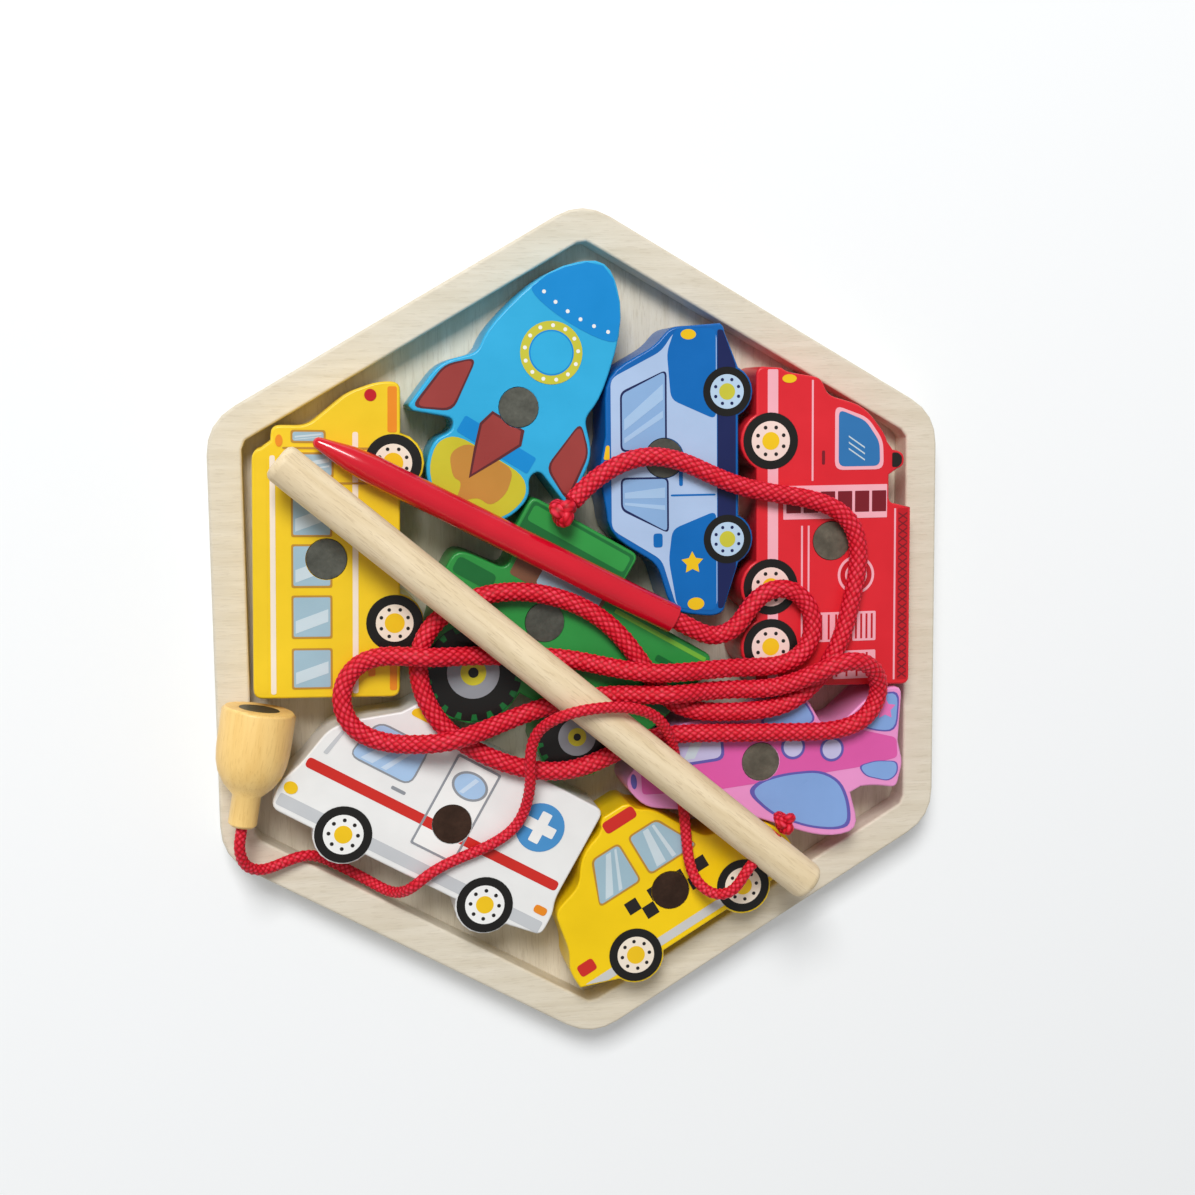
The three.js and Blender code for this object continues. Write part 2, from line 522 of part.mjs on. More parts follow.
// Rod, with a cross hole for the line
const rodRadius = ROD_DIAMETER / 2;
const quarter = Array.from({ length: 4 }, (_, i) => (i * Math.PI) / 6);
const roundStart = quarter.map((angle) => [
  rodRadius - ROD_END_RADIUS + ROD_END_RADIUS * Math.sin(angle), ROD_END_RADIUS * (1 - Math.cos(angle))]);
const roundEnd = roundStart.map(([radius, along]) => [radius, ROD_LENGTH - along]).reverse();
const stick = turned([[0, 0], ...roundStart, ...roundEnd, [0, ROD_LENGTH]]);
const holeAlong = ROD_LENGTH - ROD_HOLE_FROM_END;
const lineHole = LINE_DIAMETER / 2 + SOCKET_CLEARANCE;
const crossHole = new THREE.CylinderGeometry(lineHole, lineHole, ROD_DIAMETER * 2, ROUND_SIDES / 2)
  .translate(holeAlong, 0, 0);
const rod = new THREE.Group();
rod.position.set(ROD_START.x, ROD_START.y, rodHeight);
rod.rotation.z = radians(ROD_TURN);
group.add(rod);
add('rod_stick', cut(stick, crossHole), birch, rod);

// A tight knot, as a turned bead with its strands' swell
function bead(diameter, length) {
  const steps = BEAD_STEPS;
  const profile = Array.from({ length: steps + 1 }, (_, i) => {
    const angle = (i * Math.PI) / steps;
    return [(diameter / 2) * Math.sin(angle), (length / 2) * (1 - Math.cos(angle))];
  });
  profile[0][0] = 0;
  profile[steps][0] = 0;
  return turned(profile);
}
const knotStart = rodRadius + SEAT_GAP;
const lineKnot = add('line_knot', bead(LINE_KNOT_DIAMETER, LINE_KNOT_LENGTH), redBraid, rod);
lineKnot.position.set(holeAlong, knotStart, 0);
lineKnot.rotation.z = Math.PI / 2;

// Lure, with a magnet in its wide face and a socket for the line in its neck
const magnetRadius = MAGNET_DIAMETER / 2;
const lurePocket = LURE_MAGNET_THICKNESS + SEAT_GAP;
const lureBody = turned([
  [0, lurePocket], [magnetRadius + MAGNET_CLEARANCE, lurePocket], [magnetRadius + MAGNET_CLEARANCE, 0],
  [lureRadius - LURE_EDGE, 0], [lureRadius, LURE_EDGE], ...bowl.slice(1),
  [neckRadius, lureLength - LURE_EDGE], [neckRadius - LURE_EDGE, lureLength],
  [lineHole, lureLength], [lineHole, lureLength - LURE_SOCKET_DEPTH], [0, lureLength - LURE_SOCKET_DEPTH],
]);
const lureSeat = new THREE.Group();
const lurePlace = lure.sizes.place;
lureSeat.position.set(lurePlace.x, lurePlace.y, lureHeight);
lureSeat.rotation.z = radians(lurePlace.turn);
group.add(lureSeat);
add('lure', lureBody, lureWood, lureSeat);
const lureMagnet = add('lure_magnet', disc(MAGNET_DIAMETER, LURE_MAGNET_THICKNESS), magnetSteel, lureSeat);
lureMagnet.rotation.y = Math.PI / 2;

// Needle, beside the rod, with a tapered nose and a socket for the cord
const needleRadius = NEEDLE_DIAMETER / 2;
const tipRadius = NEEDLE_TIP_DIAMETER / 2;
const needleSocket = CORD_DIAMETER / 2 + SOCKET_CLEARANCE;
const needleBody = turned([
  [0, 0],
  ...quarter.slice(1).map((angle) => [tipRadius * Math.sin(angle), tipRadius * (1 - Math.cos(angle))]),
  [needleRadius * NEEDLE_SHOULDER, NEEDLE_TAPER_LENGTH * NEEDLE_SHOULDER_AT],
  [needleRadius, NEEDLE_TAPER_LENGTH], [needleRadius, NEEDLE_LENGTH],
  [needleSocket, NEEDLE_LENGTH], [needleSocket, NEEDLE_LENGTH - NEEDLE_SOCKET_DEPTH],
  [0, NEEDLE_LENGTH - NEEDLE_SOCKET_DEPTH],
]);
const needle = new THREE.Group();
const besideRod = rodRadius + needleRadius + SEAT_GAP;
const needlePlace = new THREE.Vector3(NEEDLE_ALONG_ROD, besideRod, 0);
needlePlace.applyEuler(rod.rotation).add(rod.position);
needle.position.set(needlePlace.x, needlePlace.y, blockTop + SEAT_GAP + needleRadius);
needle.rotation.z = radians(NEEDLE_TURN);
group.add(needle);
add('lacing_needle', needleBody, redPlastic, needle);

// Cords
group.updateMatrixWorld(true);

// A cord lies on a smooth cubic curve that its route's points draw towards them.
function strand(points, diameter, sides, steps) {
  const degree = 3;
  const last = points.length - degree;
  const knots = points.map((_, i) => Math.max(0, i - degree)).concat([last, last, last, last]);
  const weighted = points.map(({ x, y, z }) => new THREE.Vector4(x, y, z, 1));
  const curve = new NURBSCurve(degree, knots, weighted);
  curve.arcLengthDivisions = points.length * steps;
  const section = new THREE.Shape();
  const radius = diameter / 2 / Math.cos(Math.PI / sides / 2);
  for (let i = 0; i < sides; i += 1) {
    const angle = (2 * Math.PI * i) / sides;
    if (i === 0) section.moveTo(radius, 0);
    else section.lineTo(radius * Math.cos(angle), radius * Math.sin(angle));
  }
  section.closePath();
  const geometry = new THREE.ExtrudeGeometry(section, { steps, extrudePath: curve, bevelEnabled: false });
  return { curve, geometry };
}

// The least gap between stretches of one cord that lie more than a few diameters apart along it
function leastGap(curve, diameter) {
  const points = curve.getSpacedPoints(Math.round(curve.getLength()));
  const apart = diameter * 4;
  let least = Infinity;
  points.forEach((a, i) => points.slice(i + apart).forEach((b) => {
    least = Math.min(least, a.distanceTo(b) - diameter);
  }));
  return least;
}

const inNeedle = (along) => needle.localToWorld(new THREE.Vector3(along, 0, 0));
const cordPoints = [
  inNeedle(NEEDLE_LENGTH - NEEDLE_SOCKET_DEPTH + SEAT_GAP), inNeedle(NEEDLE_LENGTH - CORD_DIAMETER),
  inNeedle(NEEDLE_LENGTH), inNeedle(NEEDLE_LENGTH + CORD_DIAMETER),
  ...cordRoute.map(([x, y, level]) => new THREE.Vector3(x, y, cordHeight + level * cordLevel)),
  new THREE.Vector3(cordEnd.x, cordEnd.y, cordHeight + CORD_KNOT_DIAMETER / 2 - CORD_DIAMETER / 2),
];
const cord = strand(cordPoints, CORD_DIAMETER, CORD_SIDES, CORD_STEPS);
add('lacing_cord', cord.geometry, redBraid);
console.log('lacing cord', cord.curve.getLength().toFixed(0), 'mm, least gap to itself',
  leastGap(cord.curve, CORD_DIAMETER).toFixed(2), 'mm');

const endTangent = cord.curve.getTangent(1);
const endKnot = add('cord_end_knot', bead(CORD_KNOT_DIAMETER, CORD_KNOT_LENGTH), redBraid);
endKnot.position.copy(cord.curve.getPoint(1)).addScaledVector(endTangent, SEAT_GAP);
endKnot.quaternion.setFromUnitVectors(new THREE.Vector3(1, 0, 0), endTangent);

const acrossRod = (across) => rod.localToWorld(new THREE.Vector3(holeAlong, across, 0));
const inLure = (along) => lureSeat.localToWorld(new THREE.Vector3(along, 0, 0));
const linePoints = [
  acrossRod(knotStart - SEAT_GAP), acrossRod(0), acrossRod(-rodRadius),
  acrossRod(-rodRadius - LINE_DIAMETER),
  ...lineRoute.map(([x, y, height]) => new THREE.Vector3(x, y, height)),
  inLure(lureLength + 2 * LINE_DIAMETER), inLure(lureLength + LINE_DIAMETER), inLure(lureLength),
  inLure(lureLength - LURE_SOCKET_DEPTH + SEAT_GAP),
];
const line = strand(linePoints, LINE_DIAMETER, LINE_SIDES, LINE_STEPS);
add('fishing_line', line.geometry, redBraid);
console.log('fishing line', line.curve.getLength().toFixed(0), 'mm, least gap to itself',
  leastGap(line.curve, LINE_DIAMETER).toFixed(2), 'mm');
console.log('tray', (trayHalf * 2).toFixed(1), 'mm across its flats');

export default group;
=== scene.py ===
import math
import bpy
import numpy as np
from mathutils import Matrix, Vector


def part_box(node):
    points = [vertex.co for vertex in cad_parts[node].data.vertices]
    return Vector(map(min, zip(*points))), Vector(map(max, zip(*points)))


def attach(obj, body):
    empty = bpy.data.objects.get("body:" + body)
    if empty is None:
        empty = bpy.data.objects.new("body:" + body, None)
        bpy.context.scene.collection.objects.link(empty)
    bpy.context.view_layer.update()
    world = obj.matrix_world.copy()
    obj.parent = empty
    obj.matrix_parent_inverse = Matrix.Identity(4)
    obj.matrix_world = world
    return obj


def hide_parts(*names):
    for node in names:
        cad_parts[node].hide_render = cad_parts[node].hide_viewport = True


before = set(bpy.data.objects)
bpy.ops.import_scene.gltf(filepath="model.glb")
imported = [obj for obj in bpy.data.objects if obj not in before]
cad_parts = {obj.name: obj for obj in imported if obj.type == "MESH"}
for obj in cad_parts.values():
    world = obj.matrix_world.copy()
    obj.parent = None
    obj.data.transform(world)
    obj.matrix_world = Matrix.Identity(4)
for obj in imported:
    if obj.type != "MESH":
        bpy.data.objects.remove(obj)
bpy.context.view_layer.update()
mm = 0.001
scene = bpy.context.scene
scene.view_settings.view_transform = "Standard"
print("frame loaded", len(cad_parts), "nodes")


# camera, where the photographer stood, placed in mm
camera = {
    "place": (-78.9, 60.0, 451.1),
    "forward": (0.1814, -0.1143, -0.9767),
    "right": (0.9829, -0.0107, 0.1838),
    "down": (-0.0315, -0.9934, 0.1105),
    "lens": 51.92,
    "sensor": 36,
    "nearest": 0.01,
}
bpy.ops.object.camera_add()
cam = bpy.context.object
right, down, forward = (Vector(camera[k]).normalized() for k in ("right", "down", "forward"))
turn = Matrix((right, -down, -forward)).transposed().to_4x4()
cam.matrix_world = Matrix.Translation(Vector(camera["place"]) * mm) @ turn
cam.data.lens = camera["lens"]
cam.data.sensor_width = camera["sensor"]
cam.data.clip_start = camera["nearest"]
scene.camera = cam


# a node's output, with shader maths written as expressions
class Wire:
    def __init__(self, tree, socket):
        self.tree = tree
        self.socket = socket

    def maths(self, operation, *values):
        node = self.tree.nodes.new("ShaderNodeMath")
        node.operation = operation
        for slot, value in zip(node.inputs, values):
            if isinstance(value, Wire):
                self.tree.links.new(value.socket, slot)
            else:
                slot.default_value = value
        return Wire(self.tree, node.outputs[0])

    def __add__(self, other):
        return self.maths("ADD", self, other)

    def __radd__(self, other):
        return self.maths("ADD", other, self)

    def __sub__(self, other):
        return self.maths("SUBTRACT", self, other)

    def __rsub__(self, other):
        return self.maths("SUBTRACT", other, self)

    def __mul__(self, other):
        return self.maths("MULTIPLY", self, other)

    def __rmul__(self, other):
        return self.maths("MULTIPLY", other, self)

    def __gt__(self, other):
        return self.maths("GREATER_THAN", self, other)

    def floor(self):
        return self.maths("FLOOR", self)

    def cosine(self):
        return self.maths("COSINE", self)

    def remainder(self, other):
        return self.maths("FLOORED_MODULO", self, other)

    def orMore(self, other):
        return self.maths("MAXIMUM", self, other)


class Nodes:
    def __init__(self, tree):
        self.tree = tree

    # sockets go by name, or by number as socket0, socket1 and so on
    def node(self, kind, output=0, settings=None, **inputs):
        made = self.tree.nodes.new("ShaderNode" + kind)
        for key, value in (settings or {}).items():
            setattr(made, key, value)
        for key, value in inputs.items():
            number = key.removeprefix("socket")
            slot = made.inputs[int(number) if number.isdigit() else key]
            if isinstance(value, Wire):
                self.tree.links.new(value.socket, slot)
            else:
                slot.default_value = value
        return Wire(self.tree, made.outputs[output])


class Finish(Nodes):
    def __init__(self, name, **fixed):
        self.material = bpy.data.materials.new(name)
        self.material.use_nodes = True
        super().__init__(self.material.node_tree)
        self.shader = self.tree.nodes["Principled BSDF"]
        for key, value in fixed.items():
            self.shader.inputs[key.replace("_", " ")].default_value = value

    def blend(self, factor, first, second):
        return self.node("Mix", output=2, settings={"data_type": "RGBA"},
                         socket0=factor, socket6=first, socket7=second)

    def feed(self, **wires):
        for key, wire in wires.items():
            self.tree.links.new(wire.socket, self.shader.inputs[key.replace("_", " ")])

    def bump(self, height, strength, depth):
        self.feed(Normal=self.node("Bump", Strength=strength, Distance=depth, Height=height))


# an sRGB colour of 0 to 255 as Blender's linear colour
def ink(red, green, blue):
    def linear(value):
        value = value / 255
        return value / 12.92 if value <= 0.04045 else ((value + 0.055) / 1.055) ** 2.4
    return (*(min(1, linear(v)) for v in (red, green, blue)), 1)


def shifted(colour, change, share=1.0):
    return ink(*(v + c * share for v, c in zip(colour, change)))


def scaled(colour, shares):
    return ink(*(v * s for v, s in zip(colour, shares)))


# bare wood: long grain, short pores and a little patchiness, with sizes in metres, along the grain first
woodLook = {
    "grain": (0.025, 0.0024, 0.0024), "pores": (0.0045, 0.0004, 0.0004), "patches": 22.0,
    "pale": (8, 8, 8), "deep": (-30, -36, -48), "pore": (-60, -70, -80), "stain": (-6, -12, -26),
    "poreFrom": 0.6, "poreWeight": 0.26, "bump": 0.35, "depth": 0.0002,
}


def woodFinish(name, colour, angle, gloss=0.55, contrast=1.0):
    look = Finish(name, Roughness=gloss)
    spot = look.node("TexCoord", output="Object")
    turned = {"vector_type": "TEXTURE"}
    spin = (0, 0, angle)
    along = look.node("Mapping", settings=turned, Vector=spot, Rotation=spin, Scale=woodLook["grain"])
    grain = look.node("TexNoise", Vector=along, Scale=1.0, Detail=5.0, Roughness=0.6)
    pores = look.node("Mapping", settings=turned, Vector=spot, Rotation=spin, Scale=woodLook["pores"])
    fleck = look.node("TexNoise", Vector=pores, Scale=1.0, Detail=2.0)
    patch = look.node("TexNoise", Vector=spot, Scale=woodLook["patches"], Detail=2.0)
    pale, deep = shifted(colour, woodLook["pale"]), shifted(colour, woodLook["deep"], contrast)
    mixed = look.blend((grain - 0.36) * 1.5, pale, deep)
    poreShare = (fleck > woodLook["poreFrom"]) * (woodLook["poreWeight"] * contrast)
    mixed = look.blend(poreShare, mixed, shifted(colour, woodLook["pore"]))
    mixed = look.blend((patch - 0.4) * 0.5, mixed, shifted(colour, woodLook["stain"]))
    look.feed(Base_Color=mixed, Roughness=gloss - 0.08 + grain * 0.2)
    look.bump(grain + fleck * 0.7, woodLook["bump"], woodLook["depth"])
    return look.material


# paint on wood: even colour, faint cloudiness, worn gloss and the grain just showing through
paintLook = {
    "coat": 0.1, "coatGloss": 0.2, "shine": 0.3, "clouds": 70.0, "grain": (90, 1100, 900),
    "dim": 0.93, "bright": 6, "bump": 0.12, "depth": 0.00012,
}


def paintFinish(name, colour, gloss=0.36):
    look = Finish(name, Roughness=gloss, Coat_Weight=paintLook["coat"], Coat_Roughness=paintLook["coatGloss"],
                  Specular_IOR_Level=paintLook["shine"])
    spot = look.node("TexCoord", output="Object")
    cloud = look.node("TexNoise", Vector=spot, Scale=paintLook["clouds"], Detail=3.0)
    through = look.node("Mapping", Vector=spot, Scale=paintLook["grain"])
    grain = look.node("TexNoise", Vector=through, Scale=1.0, Detail=3.0)
    dim = scaled(colour, [paintLook["dim"]] * 3)
    bright = ink(*(min(255, v + paintLook["bright"]) for v in colour))
    look.feed(Base_Color=look.blend(cloud, dim, bright), Roughness=gloss - 0.1 + cloud * 0.2)
    look.bump(grain + cloud * 0.4, paintLook["bump"], paintLook["depth"])
    return look.material


# magnet discs: bare steel, lightly scuffed and stained
steelLook = {
    "gloss": 0.42, "metal": 0.75, "scuffs": 900.0, "stains": 260.0, "worn": (0.8, 0.79, 0.77),
    "clean": (1.22, 1.21, 1.18), "bump": 0.2, "depth": 0.0001,
}


def steelFinish(name, colour):
    look = Finish(name, Roughness=steelLook["gloss"], Metallic=steelLook["metal"])
    spot = look.node("TexCoord", output="Object")
    scuff = look.node("TexNoise", Vector=spot, Scale=steelLook["scuffs"], Detail=4.0, Roughness=0.7)
    stain = look.node("TexNoise", Vector=spot, Scale=steelLook["stains"], Detail=2.0)
    worn, clean = scaled(colour, steelLook["worn"]), scaled(colour, steelLook["clean"])
    look.feed(Base_Color=look.blend(scuff * stain * 1.6, worn, clean), Roughness=0.28 + stain * 0.34)
    look.bump(scuff, steelLook["bump"], steelLook["depth"])
    return look.material


# moulded plastic: clear gloss over a colour that drifts a little
plasticLook = {
    "gloss": 0.2, "coat": 0.5, "coatGloss": 0.08, "flow": 60.0, "fine": 1500.0, "dim": (0.92, 1, 1),
    "warm": 1.06, "lift": 8, "bump": 0.06, "depth": 0.0001,
}


def plasticFinish(name, colour):
    look = Finish(name, Roughness=plasticLook["gloss"], Coat_Weight=plasticLook["coat"],
                  Coat_Roughness=plasticLook["coatGloss"])
    spot = look.node("TexCoord", output="Object")
    flow = look.node("TexNoise", Vector=spot, Scale=plasticLook["flow"], Detail=2.0)
    fine = look.node("TexNoise", Vector=spot, Scale=plasticLook["fine"], Detail=2.0)
    red, green, blue = colour
    lift = plasticLook["lift"]
    bright = ink(min(255, red * plasticLook["warm"]), green + lift, blue + lift)
    mixed = look.blend(flow, scaled(colour, plasticLook["dim"]), bright)
    look.feed(Base_Color=mixed, Roughness=0.14 + flow * 0.12)
    look.bump(fine, plasticLook["bump"], plasticLook["depth"])
    return look.material


# braid: stitches that lean left and right by turns, with a painted highlight on each crown and painted shade,
# deep red, in the hollows between
braidLook = {"gloss": 0.5, "shine": 0.3, "fibres": 2600.0, "bump": 0.4, "depth": 0.0002}
stitchFall = 3.6  # how fast a stitch sinks towards its ends


def braidFinish(name, colours):
    look = Finish(name, Roughness=braidLook["gloss"], Specular_IOR_Level=braidLook["shine"])
    weave = look.node("UVMap", settings={"uv_map": "weave"})
    around = look.node("SeparateXYZ", output="X", Vector=weave)
    along = look.node("SeparateXYZ", output="Y", Vector=weave)
    left, back = around + along, around - along
    column, row = left.floor(), back.floor()
    leansBack = (column + row).remainder(2.0)
    first, second = left - column - 0.5, back - row - 0.5
    wide = first + (second - first) * leansBack
    long = second + (first - second) * leansBack
    swell = (wide * math.pi).cosine() * (1 - long * long * stitchFall)
    hollowShade = 1 - swell
    cell = look.node("CombineXYZ", X=column, Y=row)
    chance = look.node("TexWhiteNoise", settings={"noise_dimensions": "2D"}, Vector=cell)
    spot = look.node("TexCoord", output="Object")
    fibre = look.node("TexNoise", Vector=spot, Scale=braidLook["fibres"], Detail=3.0)
    base = look.blend(fibre, ink(*colours["dim"]), ink(*colours["bright"]))
    # painted highlight on each stitch's crown, stronger on some stitches than others
    base = look.blend(swell * swell * (0.15 + chance * 0.55), base, ink(*colours["crownHighlight"]))
    # painted shade, deep red, in the hollows between the stitches
    base = look.blend(hollowShade * hollowShade * hollowShade * 0.8, base, ink(*colours["deep"]))
    look.feed(Base_Color=base, Roughness=0.38 + fibre * 0.25)
    look.bump(fibre + swell * 0.8, braidLook["bump"], braidLook["depth"])
    return look.material


# a smooth cubic curve through a cord's points, cut into even steps
def smoothRoute(points, spacing, samples=24):
    spots = np.array(points, float)
    last = len(spots) - 3
    knots = np.array([0, 0, 0, *range(last + 1), last, last, last], float)

    def at(t):
        span = min(int(t), last - 1) + 3
        near = [spots[span - 3 + j].copy() for j in range(4)]
        for r in range(1, 4):
            for j in range(3, r - 1, -1):
                low = knots[span - 3 + j]
                share = (t - low) / (knots[span + 1 + j - r] - low)
                near[j] = near[j - 1] * (1 - share) + near[j] * share
        return near[3]

    fine = np.array([at(t) for t in np.linspace(0, last, last * samples)])
    run = np.concatenate([[0], np.cumsum(np.linalg.norm(np.diff(fine, axis=0), axis=1))])
    count = max(3, round(run[-1] / spacing))
    steps = np.linspace(0, run[-1], count + 1)
    return np.stack([np.interp(steps, run, fine[:, k]) for k in range(3)], 1), run[-1]


# a tube along a route, raised where its stitches are, with a map that the braid's finish reads
def braidTube(name, route, radius, sides, columns, stitch, lift):
    path = np.array(route)
    ahead = np.gradient(path, axis=0)
    ahead /= np.linalg.norm(ahead, axis=1)[:, None]
    side = np.cross(ahead[0], (0, 0, 1))
    side /= np.linalg.norm(side)
    run = np.concatenate([[0], np.cumsum(np.linalg.norm(np.diff(path, axis=0), axis=1))])
    angles = np.arange(sides) * 2 * math.pi / sides
    around = angles / math.pi * columns / 4
    rings = []
    for spot, way, far in zip(path, ahead, run):
        side = side - way * np.dot(side, way)
        side /= np.linalg.norm(side)
        up = np.cross(way, side)
        lean, back = around + far / stitch, around - far / stitch
        first, second = lean % 1 - 0.5, back % 1 - 0.5
        leansBack = (np.floor(lean) + np.floor(back)) % 2 == 1
        wide, long = np.where(leansBack, second, first), np.where(leansBack, first, second)
        reach = radius - lift + lift * np.cos(math.pi * wide) * (1 - stitchFall * long ** 2)
        rings.append(spot + reach[:, None] * (np.cos(angles)[:, None] * side + np.sin(angles)[:, None] * up))
    corners = np.concatenate([*rings, path[:1], path[-1:]])
    ends = len(corners) - 2
    faces = []
    for i in range(len(path) - 1):
        for j in range(sides):
            k = (j + 1) % sides
            faces.append((i * sides + j, i * sides + k, (i + 1) * sides + k, (i + 1) * sides + j))
    top = (len(path) - 1) * sides
    faces += [(ends, (j + 1) % sides, j) for j in range(sides)]
    faces += [(ends + 1, top + j, top + (j + 1) % sides) for j in range(sides)]
    mesh = bpy.data.meshes.new(name)
    mesh.from_pydata((corners * mm).tolist(), [], faces)
    weaveMap = mesh.uv_layers.new(name="weave")
    for face in mesh.polygons:
        spots = list(face.vertices)
        for loop, corner in zip(face.loop_indices, spots):
            if corner >= ends:
                weaveMap.data[loop].uv = (0, 0)
                continue
            ring, j = divmod(corner, sides)
            wrap = sides if j == 0 and any(s < ends and s % sides == sides - 1 for s in spots) else j
            weaveMap.data[loop].uv = (wrap / sides * columns / 2, run[ring] / stitch)
    obj = bpy.data.objects.new(name, mesh)
    scene.collection.objects.link(obj)
    bpy.ops.object.select_all(action="DESELECT")
    obj.select_set(True)
    bpy.context.view_layer.objects.active = obj
    bpy.ops.object.mode_set(mode="EDIT")
    bpy.ops.mesh.select_all(action="SELECT")
    bpy.ops.mesh.normals_make_consistent(inside=False)
    bpy.ops.object.mode_set(mode="OBJECT")
    bpy.ops.object.shade_smooth()
    return obj


# the strands of a pulled tight knot, as one looped tube that fills the solid knot's box
knot = {
    "points": 190, "gap": 0.25, "loop": 1.5, "rise": 1.1,
    "sides": 24, "columns": 8, "stitch": 1.6, "lift": 0.2,
}


def pulledKnot(name, node, radius):
    low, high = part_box(node)
    middle, half = (low + high) / 2 / mm, (high - low) / 2 / mm
    loop = knot["loop"]
    turns = np.linspace(knot["gap"], 2 * math.pi - knot["gap"], knot["points"])
    loops = np.stack([np.sin(turns) + loop * np.sin(2 * turns), np.cos(turns) - loop * np.cos(2 * turns),
                      -knot["rise"] * np.sin(3 * turns)], 1)
    room = np.array(half) - radius
    span = (loops.max(0) - loops.min(0)) / 2
    loops = (loops - (loops.max(0) + loops.min(0)) / 2) / span * room + np.array(middle)
    return braidTube(name, loops, radius, knot["sides"], knot["columns"], knot["stitch"], knot["lift"])


# lacing cord: a limp braid laid in loops over the blocks
lacing = {
    "diameter": 5.0, "level": 5.6, "height": 24.1, "sides": 48, "step": 0.4, "columns": 16, "stitch": 2.2,
    "lift": 0.4, "knotStrand": 1.9,
    # dim and bright are the fibres' own reds; the crown colour is a painted highlight on the stitches and the
    # deep colour is painted shade between them
    "colours": {"dim": (208, 0, 28), "bright": (226, 4, 36), "crownHighlight": (255, 84, 112), "deep": (140, 0, 14)},
    "start": [(11.275, 8.493, 25.3), (15.44, 6.316, 25.3), (19.871, 3.999, 25.3), (24.302, 1.683, 25.3)],
    "end": (-6, 34.4, 25.4),
    # x, y and how many strands lie underneath
    "route": [
        (30.2, -1.6, 0), (37, 0.6, 0), (40.4, 6.8, 0), (46, 11.4, 0), (53.4, 10.4, 0), (58, 3.6, 0),
        (56.8, -5, 0), (49.8, -9.8, 0), (39, -9.2, 0), (26, -9.3, 0.6), (13.5, -9.2, 1.4), (2, -7.5, 0.4),
        (-8, -5, 0), (-20, -4.2, 0), (-32.5, -3.4, 0.2), (-44, -2.9, 1.4), (-54.6, -2, 0.3), (-62.2, -5.3, 0),
        (-65.6, -13.5, 0), (-62.2, -21.7, 0), (-54, -25.1, 0), (-47, -25.2, 0.5), (-38, -24.2, 1.4),
        (-27.4, -21.8, 0.3), (-16, -18, 0), (-5, -15.6, 0), (6, -14.8, 0.1), (17, -14.8, 1.4),
        (28, -14.9, 0.2), (38, -15, 0), (47, -15.3, 0.2), (56, -11, 1.1), (64, -7, 1.4), (72.4, -9, 0.8),
        (76.4, -16.8, 0),
        (72.4, -24.8, 0), (63.5, -27.6, 0), (50, -26.9, 0), (36, -26.6, 0), (24, -25.9, 0), (12, -26.6, 0),
        (2, -31.6, 0), (-8, -35, 0), (-20, -33.4, 0), (-31, -28.6, 0), (-40.5, -21.5, 0), (-46, -10, 0),
        (-45, 1, 0), (-37.5, 9, 0), (-25, 12.8, 0), (-12, 11.6, 0), (0, 6.4, 0), (8, -1.5, 0), (14, -11, 0),
        (20, -19, 0), (29, -20.9, 0), (40, -21, 0), (51, -20.3, 0), (60, -12.4, 0), (65.4, -3, 0), (68, 8, 0),
        (70.4, 19, 0), (68, 29, 0), (58, 34, 0), (46, 35.4, 0), (34, 38.4, 0), (24, 44, 0), (14, 46.2, 0),
        (5, 43.6, 0), (-2, 38.6, 0),
    ],
}
laidPoints = ((x, y, lacing["height"] + strands * lacing["level"]) for x, y, strands in lacing["route"])
cordPoints = [*lacing["start"], *laidPoints, lacing["end"]]
cordRoute, cordLength = smoothRoute(cordPoints, lacing["step"])
cordBraid = braidFinish("red_braid", lacing["colours"])
cord = braidTube("lacing_cord_braid", cordRoute, lacing["diameter"] / 2, lacing["sides"],
                 lacing["columns"], lacing["stitch"], lacing["lift"])
endKnot = pulledKnot("cord_end_knot_braid", "cord_end_knot", lacing["knotStrand"])
for piece in (cord, endKnot):
    piece.data.materials.append(cordBraid)
    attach(piece, "lacing_set")
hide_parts("lacing_cord")
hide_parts("cord_end_knot")
cordLength * mm
(cordRoute * mm).tolist()
print("lacing cord", round(cordLength), "mm")

# fishing line: the same braid, thinner, from the knot at the rod to the lure
fishing = {
    "diameter": 3.0, "sides": 30, "step": 0.3, "columns": 10, "stitch": 1.6, "lift": 0.24, "knotStrand": 1.3,
    "points": [
        (45.408, -51.664, 31.9), (42.18, -55.483, 31.9), (38.953, -59.302, 31.9), (37.017, -61.593, 31.9),
        (34, -67.2, 31.3), (28.8, -68.4, 28.5), (24.4, -64, 25.5), (23.6, -57.5, 23.5), (23.2, -50, 23.1),
        (22.2, -41, 23.1), (20.6, -33, 23.9), (17.6, -24.5, 30.8), (13, -18.6, 34.6), (5.5, -15.8, 37.9),
        (-3, -15.4, 39.9), (-11.4, -16.8, 39.5), (-17, -21.4, 32.7), (-18.6, -28, 30.4), (-18, -35, 29.2),
        (-18.4, -42, 25.1), (-21, -49, 23.1), (-28.5, -53.4, 23.1), (-37, -56, 23.1), (-44, -59.2, 23.7),
        (-48, -63, 23.1), (-52, -66.8, 15.4), (-58, -64, 10.4), (-64, -60.5, 9.6), (-70, -57, 9.6),
        (-74.5, -54.6, 14.2), (-81.7, -57.1, 14.8), (-85.4, -58.1, 15.8), (-89.7, -56.3, 18.5),
        (-90.911, -50.795, 21.5), (-90.39, -47.841, 21.5), (-89.869, -44.886, 21.5), (-88.532, -37.303, 21.5),
    ],
}
lineRoute, lineLength = smoothRoute(fishing["points"], fishing["step"])
line = braidTube("fishing_line_braid", lineRoute, fishing["diameter"] / 2, fishing["sides"],
                 fishing["columns"], fishing["stitch"], fishing["lift"])
